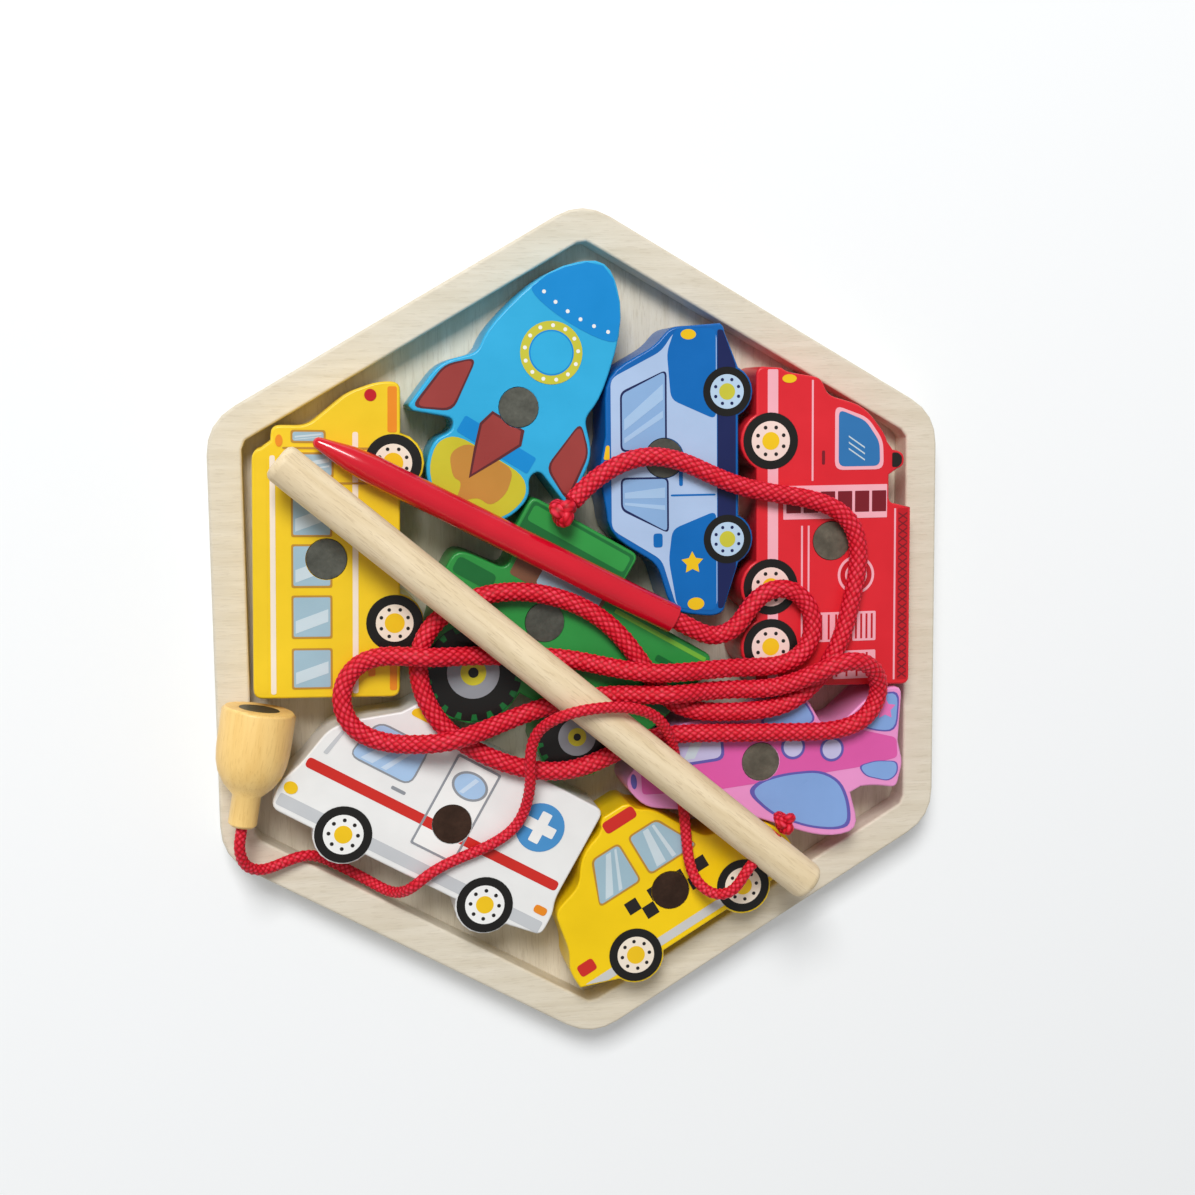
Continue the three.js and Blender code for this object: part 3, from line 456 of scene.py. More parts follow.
lineKnot = pulledKnot("line_knot_braid", "line_knot", fishing["knotStrand"])
for piece in (line, lineKnot):
    piece.data.materials.append(cordBraid)
    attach(piece, "fishing_rod")
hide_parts("fishing_line")
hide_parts("line_knot")
lineLength * mm
(lineRoute * mm).tolist()
print("fishing line", round(lineLength), "mm")


# rigid pieces keep their solids' shape, with the facets smoothed; angles in degrees
shell = {"merge": 0.000002, "flat": 0.5, "sharp": 50, "evenness": 100}


def smoothCopy(node, body, material):
    bpy.ops.object.select_all(action="DESELECT")
    obj = bpy.data.objects.new(node + "_shell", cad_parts[node].data.copy())
    scene.collection.objects.link(obj)
    obj.select_set(True)
    bpy.context.view_layer.objects.active = obj
    bpy.ops.object.mode_set(mode="EDIT")
    bpy.ops.mesh.select_all(action="SELECT")
    bpy.ops.mesh.remove_doubles(threshold=shell["merge"])
    bpy.ops.mesh.dissolve_limited(angle_limit=math.radians(shell["flat"]))
    bpy.ops.object.mode_set(mode="OBJECT")
    bpy.ops.object.shade_smooth_by_angle(angle=math.radians(shell["sharp"]))
    even = obj.modifiers.new("even", "WEIGHTED_NORMAL")
    even.keep_sharp = True
    even.weight = shell["evenness"]
    bpy.ops.object.modifier_apply(modifier="even")
    obj.data.materials.clear()
    obj.data.materials.append(material)
    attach(obj, body)
    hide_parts(node)


# tray, rod, lure and needle; turns give the way of the grain in degrees
wood = {
    "tray": (219, 210, 191), "rod": (232, 213, 178), "lure": (252, 208, 130),
    "boardTurn": 90, "rodTurn": -40.2, "lureTurn": 80,
}
steel = {"dark": (96, 98, 92), "brown": (72, 52, 42), "grey": (122, 116, 104)}
needleRed = (212, 6, 34)
trayWood = woodFinish("tray_birch", wood["tray"], 0.0, contrast=0.55)
boardWood = woodFinish("board_birch", wood["tray"], math.radians(wood["boardTurn"]), contrast=0.7)
rodWood = woodFinish("rod_birch", wood["rod"], math.radians(wood["rodTurn"]))
lureWood = woodFinish("lure_beech", wood["lure"], math.radians(wood["lureTurn"]), gloss=0.4, contrast=0.6)
smoothCopy("tray_base", "tray", boardWood)
smoothCopy("tray_frame", "tray", trayWood)
smoothCopy("rod_stick", "fishing_rod", rodWood)
smoothCopy("lure", "fishing_rod", lureWood)
darkSteel = steelFinish("magnet_steel", steel["dark"])
brownSteel = steelFinish("magnet_brown", steel["brown"])
paleSteel = steelFinish("magnet_grey", steel["grey"])
smoothCopy("lure_magnet", "fishing_rod", darkSteel)
smoothCopy("lacing_needle", "lacing_set", plasticFinish("needle_red", needleRed))
print("tray, rod, lure and needle dressed")


# prints on the vehicles: thin layers of colour on the top face, drawn in mm with the vehicle upright
layers = {"first": 0.02, "step": 0.04, "thick": 0.025, "magnetRoom": 5.2, "cut": 4}
pane = {"frame": 0.5, "tilt": 0.3, "innerCorner": 0.75, "bands": [(0.16, 0.2), (0.5, 0.09)]}
inks = {
    "tyre": (24, 23, 21), "cream": (246, 232, 212), "pink hub": (246, 218, 208), "blue hub": (188, 214, 238),
    "amber": (244, 198, 22), "yellow": (245, 205, 35), "glass": (160, 190, 204), "glint": (203, 219, 226),
    "orange": (238, 140, 30), "red": (208, 42, 34), "tan": (190, 140, 50), "sky": (45, 175, 225),
    "deep sky": (12, 140, 214), "brick": (156, 60, 56), "dark brick": (96, 40, 44), "olive": (205, 200, 60),
    "flame": (205, 195, 45), "ember": (198, 138, 58), "white": (245, 245, 242), "light blue": (176, 200, 234),
    "car glass": (140, 178, 222), "pale glass": (168, 200, 234), "blue": (0, 105, 186), "navy": (22, 32, 84),
    "rose": (248, 178, 190), "maroon": (122, 24, 36), "screen": (46, 116, 178), "ice": (170, 202, 236),
    "pale ice": (204, 224, 244), "grey": (200, 203, 206), "dark grey": (146, 150, 156),
    "lavender": (200, 196, 232), "pink": (226, 92, 170), "wing": (134, 170, 226), "violet": (100, 92, 176),
    "star": (240, 120, 190), "black": (34, 30, 28), "silver": (205, 204, 200), "roundel": (72, 146, 206),
    "leaf": (46, 152, 66), "dark leaf": (24, 108, 50), "lime": (120, 190, 60), "brown": (124, 84, 60),
    "cherry": (196, 24, 36),
}
inkGloss = 0.32
inkFinish = {}
for name, colour in inks.items():
    inkFinish[name] = paintFinish("ink_" + name.replace(" ", "_"), colour, inkGloss)


class Drawing:
    def __init__(self, name, turn, magnet):
        low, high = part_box(name + "_magnet")
        self.turn = Matrix.Rotation(math.radians(turn), 2)
        self.origin = ((low + high) / 2).xy / mm - self.turn @ Vector(magnet)
        self.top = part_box(name)[1].z / mm
        self.name, self.magnet, self.stamps = name, magnet, []

    def shape(self, colour, layer, points):
        area = sum(a[0] * b[1] - b[0] * a[1] for a, b in zip(points, [*points[1:], points[0]]))
        points = points if area > 0 else points[::-1]
        bpy.ops.object.select_all(action="DESELECT")
        bpy.ops.mesh.primitive_circle_add(vertices=len(points), radius=1, fill_type="NGON")
        obj = bpy.context.object
        height = self.top + layers["first"] + layer * layers["step"]
        for corner, point in zip(obj.data.vertices, points):
            flat = self.turn @ Vector(point) + self.origin
            corner.co = Vector((flat.x, flat.y, height)) * mm
        obj.location = (0, 0, 0)
        obj.data.materials.append(inkFinish[colour])
        self.stamps.append(obj)

    def disc(self, colour, layer, x, y, radius, tall=None, sides=36):
        tall = tall or radius
        self.shape(colour, layer, [(x + radius * math.cos(t), y + tall * math.sin(t))
                                   for t in (2 * math.pi * i / sides for i in range(sides))])

    def bar(self, colour, layer, left, low, rightEnd, high, lean=0.0, leanEnd=0.0, corner=0.6):
        corners = [(left, low), (rightEnd, low), (rightEnd + leanEnd, high), (left + lean, high)]
        self.rounded(colour, layer, corners, corner)

    def rounded(self, colour, layer, corners, corner):
        points = []
        for i, here in enumerate(corners):
            here = Vector(here)
            before, after = Vector(corners[i - 1]), Vector(corners[(i + 1) % len(corners)])
            start = here.lerp(before, min(0.45, corner / (here - before).length))
            end = here.lerp(after, min(0.45, corner / (here - after).length))
            points += [tuple(start.lerp(here, s).lerp(here.lerp(end, s), s)) for s in (0, 0.25, 0.5, 0.75, 1)]
        self.shape(colour, layer, points)

    def star(self, colour, layer, x, y, radius, tilt, tips=5, waist=0.52):
        self.shape(colour, layer, [(x + r * math.sin(t), y + r * math.cos(t)) for r, t in (
            (radius if i % 2 == 0 else radius * waist, tilt + math.pi * i / tips) for i in range(2 * tips))])

    def wheel(self, x, y, tyre, hub, cap, hubColour="cream", dots=8, dotColour="black", capColour="amber"):
        self.disc("tyre", 3, x, y, tyre)
        self.disc(hubColour, 4, x, y, hub)
        self.disc(capColour, 5, x, y, cap)
        reach = (hub + cap) / 2
        for i in range(dots):
            at = 2 * math.pi * (i + 0.5) / dots
            self.disc(dotColour, 5, x + reach * math.cos(at), y + reach * math.sin(at), hub * 0.1, sides=10)

    # a pane in its frame, with slanted bands of light that stay inside the glass
    def window(self, left, low, rightEnd, high, lean=0.0, leanEnd=0.0, edge="tan", glass="glass",
               glint="glint", corner=1.6, bands=pane["bands"], mirrored=False):
        w = pane["frame"]
        self.bar(edge, 2, left, low, rightEnd, high, lean, leanEnd, corner)
        self.bar(glass, 3, left + w, low + w, rightEnd - w, high - w, lean, leanEnd,
                 corner * pane["innerCorner"])
        foot, head = low + w * 2, high - w * 2
        tilt = min(pane["tilt"], (high - low) / (rightEnd - left) * 0.5)
        top, wide = left + lean + w, rightEnd + leanEnd - left - lean - 2 * w
        for share, band in bands:
            lowEnds, highEnds = [share, share + band], [share + band + tilt, share + tilt]
            if mirrored:
                lowEnds, highEnds = [1 - at for at in lowEnds], [1 - at for at in highEnds]
            lowEnds = [left + w + (rightEnd - left - 2 * w) * at for at in lowEnds]
            highEnds = [top + wide * at for at in highEnds]
            self.shape(glint, 4, [*((x, foot) for x in lowEnds), *((x, head) for x in highEnds)])

    def printed(self):
        bpy.ops.object.select_all(action="DESELECT")
        for obj in self.stamps:
            obj.select_set(True)
        bpy.context.view_layer.objects.active = self.stamps[0]
        bpy.ops.object.join()
        obj = bpy.context.object
        obj.name = self.name + "_print"
        thick = obj.modifiers.new("thick", "SOLIDIFY")
        thick.thickness = layers["thick"] * mm
        thick.offset = 1
        bpy.ops.object.modifier_apply(modifier="thick")
        spot = self.turn @ Vector(self.magnet) + self.origin
        bpy.ops.mesh.primitive_cylinder_add(vertices=48, radius=layers["magnetRoom"] * mm,
                                            depth=layers["cut"] * mm,
                                            location=Vector((spot.x, spot.y, self.top)) * mm)
        cutter = bpy.context.object
        bpy.ops.object.select_all(action="DESELECT")
        obj.select_set(True)
        bpy.context.view_layer.objects.active = obj
        hole = obj.modifiers.new("hole", "BOOLEAN")
        hole.object = cutter
        hole.operation = "DIFFERENCE"
        bpy.ops.object.modifier_apply(modifier="hole")
        bpy.data.objects.remove(cutter)
        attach(obj, self.name + "_block")
        print(self.name, "printed", len(obj.data.polygons), "faces")


# in the vehicles' dictionaries a box is left, low, right and high, a wheel's sizes are tyre, hub and cap

# school bus
bus = {
    "turn": 88.6, "magnet": (-3.9, 24.2), "paint": (245, 205, 30),
    "stripes": [("cream", -37.6, 36.6, 21.6, 37.9), ("cream", -37.6, 16.4, 27.5, 17.8),
                ("yellow", -37.4, 38.6, 21.2, 41.2), ("orange", 27.5, 6.9, 38.8, 9.2),
                ("orange", -37.0, 6.8, -30.0, 8.6)],
    "rearLamp": (-33.4, 12.2, -30.2, 14.0),
    "doorLines": [(14.6, 13.0, 15.1, 34.8), (23.2, 13.0, 23.7, 34.8)],
    "windows": [(-36.4, -26.1), (-23.7, -12.9), (-11.0, -0.2), (1.6, 12.5)], "sills": (22.8, 32.8),
    "frontWindows": [(16.2, 22.4, 22.4, 33.0), (24.7, 24.3, 27.9, 32.8)],
    "sideLamp": (25.2, 35.6, 1.5, 0.9), "headlamp": (36.6, 13.4, 1.5),
    "wheels": [(20, 7.8), (-20, 7.4)], "wheelSizes": (7.1, 4.7, 2.5),
}
smoothCopy("school_bus", "school_bus_block", paintFinish("bus_yellow", bus["paint"]))
art = Drawing("school_bus", bus["turn"], bus["magnet"])
for colour, *box in bus["stripes"]:
    art.bar(colour, 1, *box)
art.bar("orange", 2, *bus["rearLamp"])
for box in bus["doorLines"]:
    art.bar("tan", 2, *box)
sill, head = bus["sills"]
for left, rightEnd in bus["windows"]:
    art.window(left, sill, rightEnd, head, corner=0.6, bands=[(0.3, 0.32)], mirrored=True)
for box in bus["frontWindows"]:
    art.window(*box, corner=0.8, mirrored=True)
art.disc("orange", 2, *bus["sideLamp"])
art.disc("cherry", 2, *bus["headlamp"])
for x, y in bus["wheels"]:
    art.wheel(x, y, *bus["wheelSizes"])
art.printed()

# rocket
rocket = {
    "turn": 58, "magnet": (-3.8, 0), "paint": (45, 175, 225),
    "noseStart": 23.4, "noseBow": 2.6, "noseHalf": 12.6,
    "nose": [(28, 10.8), (32, 8), (36, 3.9), (37.4, 0), (36, -3.9), (32, -8), (28, -10.8)],
    "rivet": 0.5, "rivetLine": 25.4, "rivetBow": 2.4, "noseRivets": (-9.6, -5.8, -2, 1.8, 5.6, 9.4),
    "porthole": (12.1, 0), "rings": [("olive", 2, 7.9), ("deep sky", 3, 5.7), ("sky", 4, 5.3)],
    "ringRivets": 13, "rivetRing": 6.8, "band": (-17.0, -10.4, -12.4, 10.4),
    "fins": [("dark brick", 1, 2.6, [(1.4, 15.3), (-4.4, 21.4), (-17.8, 23.0), (-13.2, 13.6)]),
             ("brick", 2, 2.4, [(0.7, 15.6), (-4.7, 20.9), (-17.0, 22.2), (-12.8, 14.2)])],
    "flames": [
        ("flame", 1, 4.5, [(-17.6, 10.0), (-22, 13.4), (-29.4, 11.2), (-35.0, 4), (-35.0, -4),
                           (-29.4, -11.2), (-22, -13.4), (-17.6, -10)]),
        ("ember", 2, 2.4, [(-17.8, 6.4), (-22.5, 9.2), (-27.4, 5.2), (-27.0, 2.6), (-32.8, 1.4),
                           (-28.2, -2.6), (-28.8, -6.6), (-24, -8.6), (-17.8, -7)])],
    "keel": [("dark brick", 3, [(-25.4, 1.7), (-18.4, 4.4), (-12.2, 6.4), (-8, 5.2), (-8, -4.2),
                                (-11.7, -5.5), (-18.4, -2.1)]),
             ("brick", 4, [(-24.2, 1.6), (-18.4, 3.7), (-12.3, 5.7), (-8.6, 4.7), (-8.6, -3.5),
                           (-11.7, -4.8), (-18.4, -1.4)])],
}
smoothCopy("rocket", "rocket_block", paintFinish("rocket_blue", rocket["paint"]))
art = Drawing("rocket", rocket["turn"], rocket["magnet"])
noseHalf = rocket["noseHalf"]
noseEdge = [(rocket["noseStart"] - rocket["noseBow"] * math.cos(t), noseHalf * math.sin(t))
            for t in np.linspace(-math.pi / 2, math.pi / 2, 13)]
art.shape("deep sky", 1, [*noseEdge, *rocket["nose"]])
for y in rocket["noseRivets"]:
    x = rocket["rivetLine"] - rocket["rivetBow"] * math.cos(y / noseHalf * 1.3)
    art.disc("white", 2, x, y, rocket["rivet"], sides=12)
x, y = rocket["porthole"]
for colour, layer, radius in rocket["rings"]:
    art.disc(colour, layer, x, y, radius)
ring = rocket["rivetRing"]
for i in range(rocket["ringRivets"]):
    at = 2 * math.pi * i / rocket["ringRivets"]
    art.disc("white", 3, x + ring * math.cos(at), y + ring * math.sin(at), rocket["rivet"], sides=12)
art.bar("deep sky", 1, *rocket["band"])
for side in (1, -1):
    for colour, layer, corner, points in rocket["fins"]:
        art.rounded(colour, layer, [(x, side * y) for x, y in points], corner)
for colour, layer, corner, points in rocket["flames"]:
    art.rounded(colour, layer, points, corner)
for colour, layer, points in rocket["keel"]:
    art.shape(colour, layer, points)
art.printed()

# police car
police = {
    "turn": 90, "magnet": (2.2, 23.4), "paint": (0, 98, 178),
    "panels": [
        ("light blue", 1, 2.0, [(-36.6, 9.6), (34.2, 9.6), (34.2, 20.6), (29.2, 24.0), (22.4, 37.2),
                                (-15.8, 37.2), (-23.8, 24.2), (-36.2, 20.4)]),
        ("blue", 2, 2.0, [(-37.4, 9.8), (-11.5, 9.8), (-16.0, 21.4), (-24, 22.4), (-36.4, 20.2)]),
        ("blue", 2, 2.0, [(11.8, 9.8), (35.0, 9.8), (35.0, 20.4), (29, 22.6), (17.0, 21.6)]),
        ("navy", 1, 0.6, [(-26, 4.6), (25.6, 4.6), (34.6, 8), (34.6, 9.4), (-36.8, 9.4), (-36.8, 8.1)])],
    "doorLine": (-7.6, 10.0, -7.1, 21.8), "handle": (-5.0, 18.6, -1.0, 19.6),
    "mirror": (-20.6, 24.0, -17.0, 26.4),
    "glazing": {"edge": "navy", "glass": "car glass", "glint": "pale glass", "mirrored": True},
    "windows": [((-17.1, 22.3, -2.6, 34.8), 6.2, 0.0), ((3.9, 22.7, 24.6, 34.8), 0.0, -5.6)],
    "star": (-24.8, 16.2, 3.0, 0.3), "lamps": [(-35.4, 15.3, 1.6, 2.2), (33.4, 17.0, 1.3, 2.0)],
    "amberSiren": [(2, 37.6), (5.6, 37.6), (5.6, 38.5), (2, 39.2)], "redSiren": (-2.6, 37.6, 1.4, 39.3),
    "wheels": (-18.9, 18.9), "axle": 6.9, "wheelSizes": (6.3, 4.4, 2.1),
    "wheelColours": {"hubColour": "blue hub", "dotColour": "navy", "capColour": "olive"},
}
smoothCopy("police_car", "police_car_block", paintFinish("police_blue", police["paint"]))
art = Drawing("police_car", police["turn"], police["magnet"])
for colour, layer, corner, points in police["panels"]:
    art.rounded(colour, layer, points, corner)
art.bar("blue", 2, *police["doorLine"])
for box, lean, leanEnd in police["windows"]:
    art.window(*box, lean, leanEnd, **police["glazing"])
art.star("amber", 3, *police["star"])
for lamp in police["lamps"]:
    art.disc("amber", 3, *lamp)
art.bar("blue", 3, *police["mirror"], corner=0.8)
art.rounded("amber", 2, police["amberSiren"], 0.5)
art.bar("cherry", 2, *police["redSiren"])
art.bar("blue", 3, *police["handle"])
for x in police["wheels"]:
    art.wheel(x, police["axle"], *police["wheelSizes"], **police["wheelColours"])
art.printed()

# fire truck
fire = {
    "turn": -90, "magnet": (7.3, 24.5), "paint": (224, 34, 46),
    "screen": [("rose", 1, 2.2, [(-27.9, 25.3), (-11.1, 25.3), (-11.1, 38.6), (-18.6, 38.4), (-24.6, 34.2)]),
               ("screen", 2, 1.8, [(-26.8, 26.3), (-12.0, 26.3), (-12.0, 37.6), (-18.3, 37.4),
                                   (-23.8, 33.6)])],
    "glint": [(-20, 29), (-19.6, 29), (-16.6, 33.4), (-17, 33.4)], "glintShifts": (0, 1.6, 3.2),
    "ladder": (-7.2, 11.4, 1.5, 39.6), "gaps": 6, "gapSides": (-5.6, -0.1), "lowestGap": 12.2,
    "gapStep": 4.65, "gapHeight": 3.9,
    "rack": (-0.8, 42.6, 44.6, 45.4), "crosses": 22, "crossStart": 0.2, "crossStep": 2.0, "crossWide": 0.35,
    "crossSides": (42.8, 45.2), "rackLine": (-0.8, 41.6, 44.6, 42.1),
    "reel": (16.4, 31.2),
    "reelRings": [("rose", 1, 5.0), ("cherry", 2, 4.3), ("rose", 3, 3.0), ("red", 4, 1.9)],
    "vents": [(26.1, 30.3, 33.9, 36.7), (36.4, 25.0, 43.9, 36.7), (26.1, 20.8, 33.9, 29.5)],
    "slats": 4, "slat": 0.55, "slatStart": 0.7, "slatInset": 0.6,
    "trim": [("rose", (3.2, 18.0, 33.9, 18.5), 0.1), ("rose", (3.2, 16.2, 33.9, 16.7), 0.1),
             ("rose", (-37.2, 7.2, 44.6, 10.0), 0.4), ("maroon", (-16.2, 21.8, -12.6, 22.6), 0.3),
             ("rose", (-34.4, 19.0, -8.4, 19.5), 0.1)],
    "headlamp": (-34.8, 13.0, 1.1, 1.9),
    "siren": [(-15.4, 40.9), (-11.6, 40.9), (-11.6, 42.5), (-12.6, 43.6), (-14.4, 43.6), (-15.4, 42.5)],
    "wheels": (-18.9, 18.9, 34.6), "axle": 8, "wheelSizes": (7.3, 5.1, 2.3),
}
smoothCopy("fire_truck", "fire_truck_block", paintFinish("truck_red", fire["paint"]))
art = Drawing("fire_truck", fire["turn"], fire["magnet"])
for colour, layer, corner, points in fire["screen"]:
    art.rounded(colour, layer, points, corner)
for shift in fire["glintShifts"]:
    art.shape("glint", 3, [(x + shift, y) for x, y in fire["glint"]])
art.bar("rose", 1, *fire["ladder"], corner=0.2)
left, rightEnd = fire["gapSides"]
for i in range(fire["gaps"]):
    low = fire["lowestGap"] + i * fire["gapStep"]
    art.bar("maroon", 2, left, low, rightEnd, low + fire["gapHeight"], corner=0.2)
art.bar("cherry", 1, *fire["rack"], corner=0.3)
low, high = fire["crossSides"]
step, wide = fire["crossStep"], fire["crossWide"]
for i in range(fire["crosses"]):
    x = fire["crossStart"] + i * step
    art.shape("maroon", 2, [(x, low), (x + wide, low), (x + step, high), (x + step - wide, high)])
    art.shape("maroon", 3, [(x + step - wide, low), (x + step, low), (x + wide, high), (x, high)])
art.bar("rose", 1, *fire["rackLine"], corner=0.1)
for colour, layer, radius in fire["reelRings"]:
    art.disc(colour, layer, *fire["reel"], radius)
inset = fire["slatInset"]
for left, low, rightEnd, high in fire["vents"]:
    art.bar("rose", 1, left, low, rightEnd, high, corner=0.4)
    for i in range(fire["slats"]):
        slat = low + fire["slatStart"] + i * (high - low - inset) / fire["slats"]
        art.bar("cherry", 2, left + inset, slat, rightEnd - inset, slat + fire["slat"], corner=0.1)
for colour, box, corner in fire["trim"]:
    art.bar(colour, 1, *box, corner=corner)
art.disc("amber", 2, *fire["headlamp"])
art.rounded("black", 1, fire["siren"], 0.5)
for x in fire["wheels"]:
    art.wheel(x, fire["axle"], *fire["wheelSizes"], hubColour="pink hub")
art.printed()

# airplane
plane = {
    "turn": 6, "magnet": (-4.9, 0.4), "paint": (240, 152, 208),
    "body": [(-37.4, -3.4), (-20, -5.2), (20.9, -5.2), (32.6, -4.2), (32.8, 1.2), (19.7, 6.1), (12.5, 7),
             (0, 9), (-9, 11.6), (-16, 12), (-24, 12.4), (-31, 8.8), (-37, 3.4)],
    "wings": [
        (3.5, [(-9.6, -7.2), (-3.6, -14.2), (6, -19.2), (13.6, -21.2), (18, -20.6), (18.2, -14), (16.4, -8),
               (11, -4.2), (1, -3.6), (-6.4, -4.6)]),
        (2.6, [(-4.6, 11.4), (8.4, 15.8), (11.6, 8.8), (5.6, 8.0), (-1.5, 8.8)]),
        (3.4, [(20.2, 7.6), (28.2, 13.4), (35.0, 14.0), (33.0, 2.6), (25.8, 4.2)]),
        (1.6, [(21.4, -4.8), (26.4, -4.1), (32.6, -5.2), (32.3, -8.6), (29.6, -10.3), (23.1, -7.9)])],
    "wingShare": 0.92,
    "cockpit": [("violet", 2, 2.4, [(-31.0, 2.4), (-14.4, 2.4), (-14.4, 11.4), (-23.6, 12.8), (-30.4, 9.2)]),
                ("lavender", 3, 2.0, [(-29.9, 3.2), (-15.2, 3.2), (-15.2, 10.6), (-23.4, 12.0),
                                      (-29.4, 8.6)])],
    "glint": [(-25.5, 4), (-22.5, 4), (-18.5, 10.4), (-21.5, 11)],
    "windows": [(4.2, 3.0), (14.7, 0.8)], "windowRings": [("violet", 4, 3.3), ("lavender", 5, 2.6)],
    "star": (30.4, 9.4, 3.0, 0.1), "propeller": (-39.2, 0.4, 0.8, 2.0),
}
smoothCopy("airplane", "airplane_block", paintFinish("plane_pink", plane["paint"]))
art = Drawing("airplane", plane["turn"], plane["magnet"])
art.rounded("pink", 1, plane["body"], 1.2)
for corner, points in plane["wings"]:
    art.rounded("violet", 2, points, corner)
    middle = sum((Vector(p) for p in points), Vector((0, 0))) / len(points)
    inner = [tuple(middle + (Vector(p) - middle) * plane["wingShare"]) for p in points]
    art.rounded("wing", 3, inner, corner)
for colour, layer, corner, points in plane["cockpit"]:
    art.rounded(colour, layer, points, corner)
art.shape("glint", 4, plane["glint"])
for x, y in plane["windows"]:
    for colour, layer, radius in plane["windowRings"]:
        art.disc(colour, layer, x, y, radius)
art.star("star", 4, *plane["star"])
art.disc("violet", 2, *plane["propeller"])
art.printed()

# taxi
taxi = {
    "turn": 30, "magnet": (-0.2, 17.6), "paint": (250, 208, 6),
    "windows": [((-18.4, 24.1, -5.3, 36.3), 4.6, 0.0), ((-2.8, 24.1, 12.2, 36.3), 0.0, -5.8)],
    "roofSign": (-6.8, 39.6, 2.6, 43.0), "check": 3.5, "checks": 7, "checkStart": (-12.6, 14.2),
    "rearLamp": (-31.8, 10.4, -27.0, 13.8), "headlamp": (28.8, 12.0, 31.6, 15.4),
    "sill": [(-26.4, 6), (31.4, 6), (31.4, 8.4), (-32.2, 8.4)],
    "wheels": (-16.8, 16.8), "axle": 7.8, "wheelSizes": (7.1, 4.9, 2.4),
}
smoothCopy("taxi", "taxi_block", paintFinish("taxi_yellow", taxi["paint"]))
art = Drawing("taxi", taxi["turn"], taxi["magnet"])
for box, lean, leanEnd in taxi["windows"]:
    art.window(*box, lean, leanEnd)
art.bar("red", 1, *taxi["roofSign"], corner=1.2)
check = taxi["check"]
for column in range(taxi["checks"]):
    left = taxi["checkStart"][0] + column * check
    low = taxi["checkStart"][1] + check * ((column + 1) % 2)
    art.bar("black", 1, left, low, left + check, low + check, corner=0.1)
art.bar("red", 1, *taxi["rearLamp"], corner=1.0)
art.bar("orange", 1, *taxi["headlamp"], corner=1.0)
art.rounded("silver", 1, taxi["sill"], 0.6)
for x in taxi["wheels"]:
    art.wheel(x, taxi["axle"], *taxi["wheelSizes"])
art.printed()

# ambulance
ambulance = {
    "turn": -30, "magnet": (2.8, 22.5), "paint": (240, 240, 238),
    "bumper": (-39.4, 7.2, 36.4, 10.4), "stripe": (-37.5, 18.9, 35.2, 21.6),
    "screen": (-29.4, 26.2, -11.4, 37.6), "screenLean": 2.8,
    "glazing": {"edge": "dark grey", "glass": "ice", "glint": "pale ice", "corner": 3.2},
    "vent": [(-35, 24), (-33.8, 24), (-32.6, 31), (-33.4, 31.4)],
    "door": [("dark grey", 2, (-4.6, 13.5, 8.0, 39.4), 0.6), ("white", 3, (-4.0, 14.1, 7.4, 38.8), 0.4),
             ("red", 4, (-4.0, 18.9, 7.4, 21.6), 0.1)],
    "doorGlass": [("dark grey", 4, 2.1, 33.2, 4.9, 3.7), ("ice", 5, 2.1, 33.2, 4.2, 3.1)],
    "glint": [(0.2, 30.8), (1.4, 30.8), (3.6, 35.4), (2.4, 35.6)],
    "roundel": (23.5, 32.0, 6.4), "armLong": 0.66, "armWide": 0.22,
    "siren": [(-20.2, 42.6), (-14, 42.6), (-14, 44.8), (-16.2, 45.8), (-18.2, 45.6), (-20.2, 44.2)],
    "roofLamps": [("orange", -2.6, 40.4, 1.4, 42.2), ("red", 4.0, 40.4, 7.8, 42.2)],
    "headlamp": (-37.8, 12.5, 1.8, 1.6), "rearLamp": (32.4, 11.8, 36.0, 14.0),
    "handle": (-15.6, 23.6, -11.6, 24.5),
    "wheels": (-20.5, 20.5), "axle": 7.8, "wheelSizes": (7.3, 5.1, 2.3),
}
smoothCopy("ambulance", "ambulance_block", paintFinish("ambulance_white", ambulance["paint"]))
art = Drawing("ambulance", ambulance["turn"], ambulance["magnet"])
art.bar("grey", 1, *ambulance["bumper"])
art.bar("red", 1, *ambulance["stripe"], corner=1.1)
art.window(*ambulance["screen"], ambulance["screenLean"], **ambulance["glazing"])
art.rounded("grey", 1, ambulance["vent"], 0.4)
for colour, layer, box, corner in ambulance["door"]:
    art.bar(colour, layer, *box, corner=corner)
for oval in ambulance["doorGlass"]:
    art.disc(*oval)
art.shape("pale ice", 6, ambulance["glint"])
x, y, radius = ambulance["roundel"]
long, wide = radius * ambulance["armLong"], radius * ambulance["armWide"]
art.disc("roundel", 2, x, y, radius)
art.bar("white", 3, x - long, y - wide, x + long, y + wide, corner=0.4)
art.bar("white", 4, x - wide, y - long, x + wide, y + long, corner=0.4)
art.rounded("amber", 1, ambulance["siren"], 1.0)
for colour, *box in ambulance["roofLamps"]:
    art.bar(colour, 1, *box, corner=0.7)
art.disc("amber", 2, *ambulance["headlamp"])
art.bar("orange", 2, *ambulance["rearLamp"], corner=1.0)
art.bar("dark grey", 1, *ambulance["handle"], corner=0.4)
for x in ambulance["wheels"]:
    art.wheel(x, ambulance["axle"], *ambulance["wheelSizes"], hubColour="white")
art.printed()

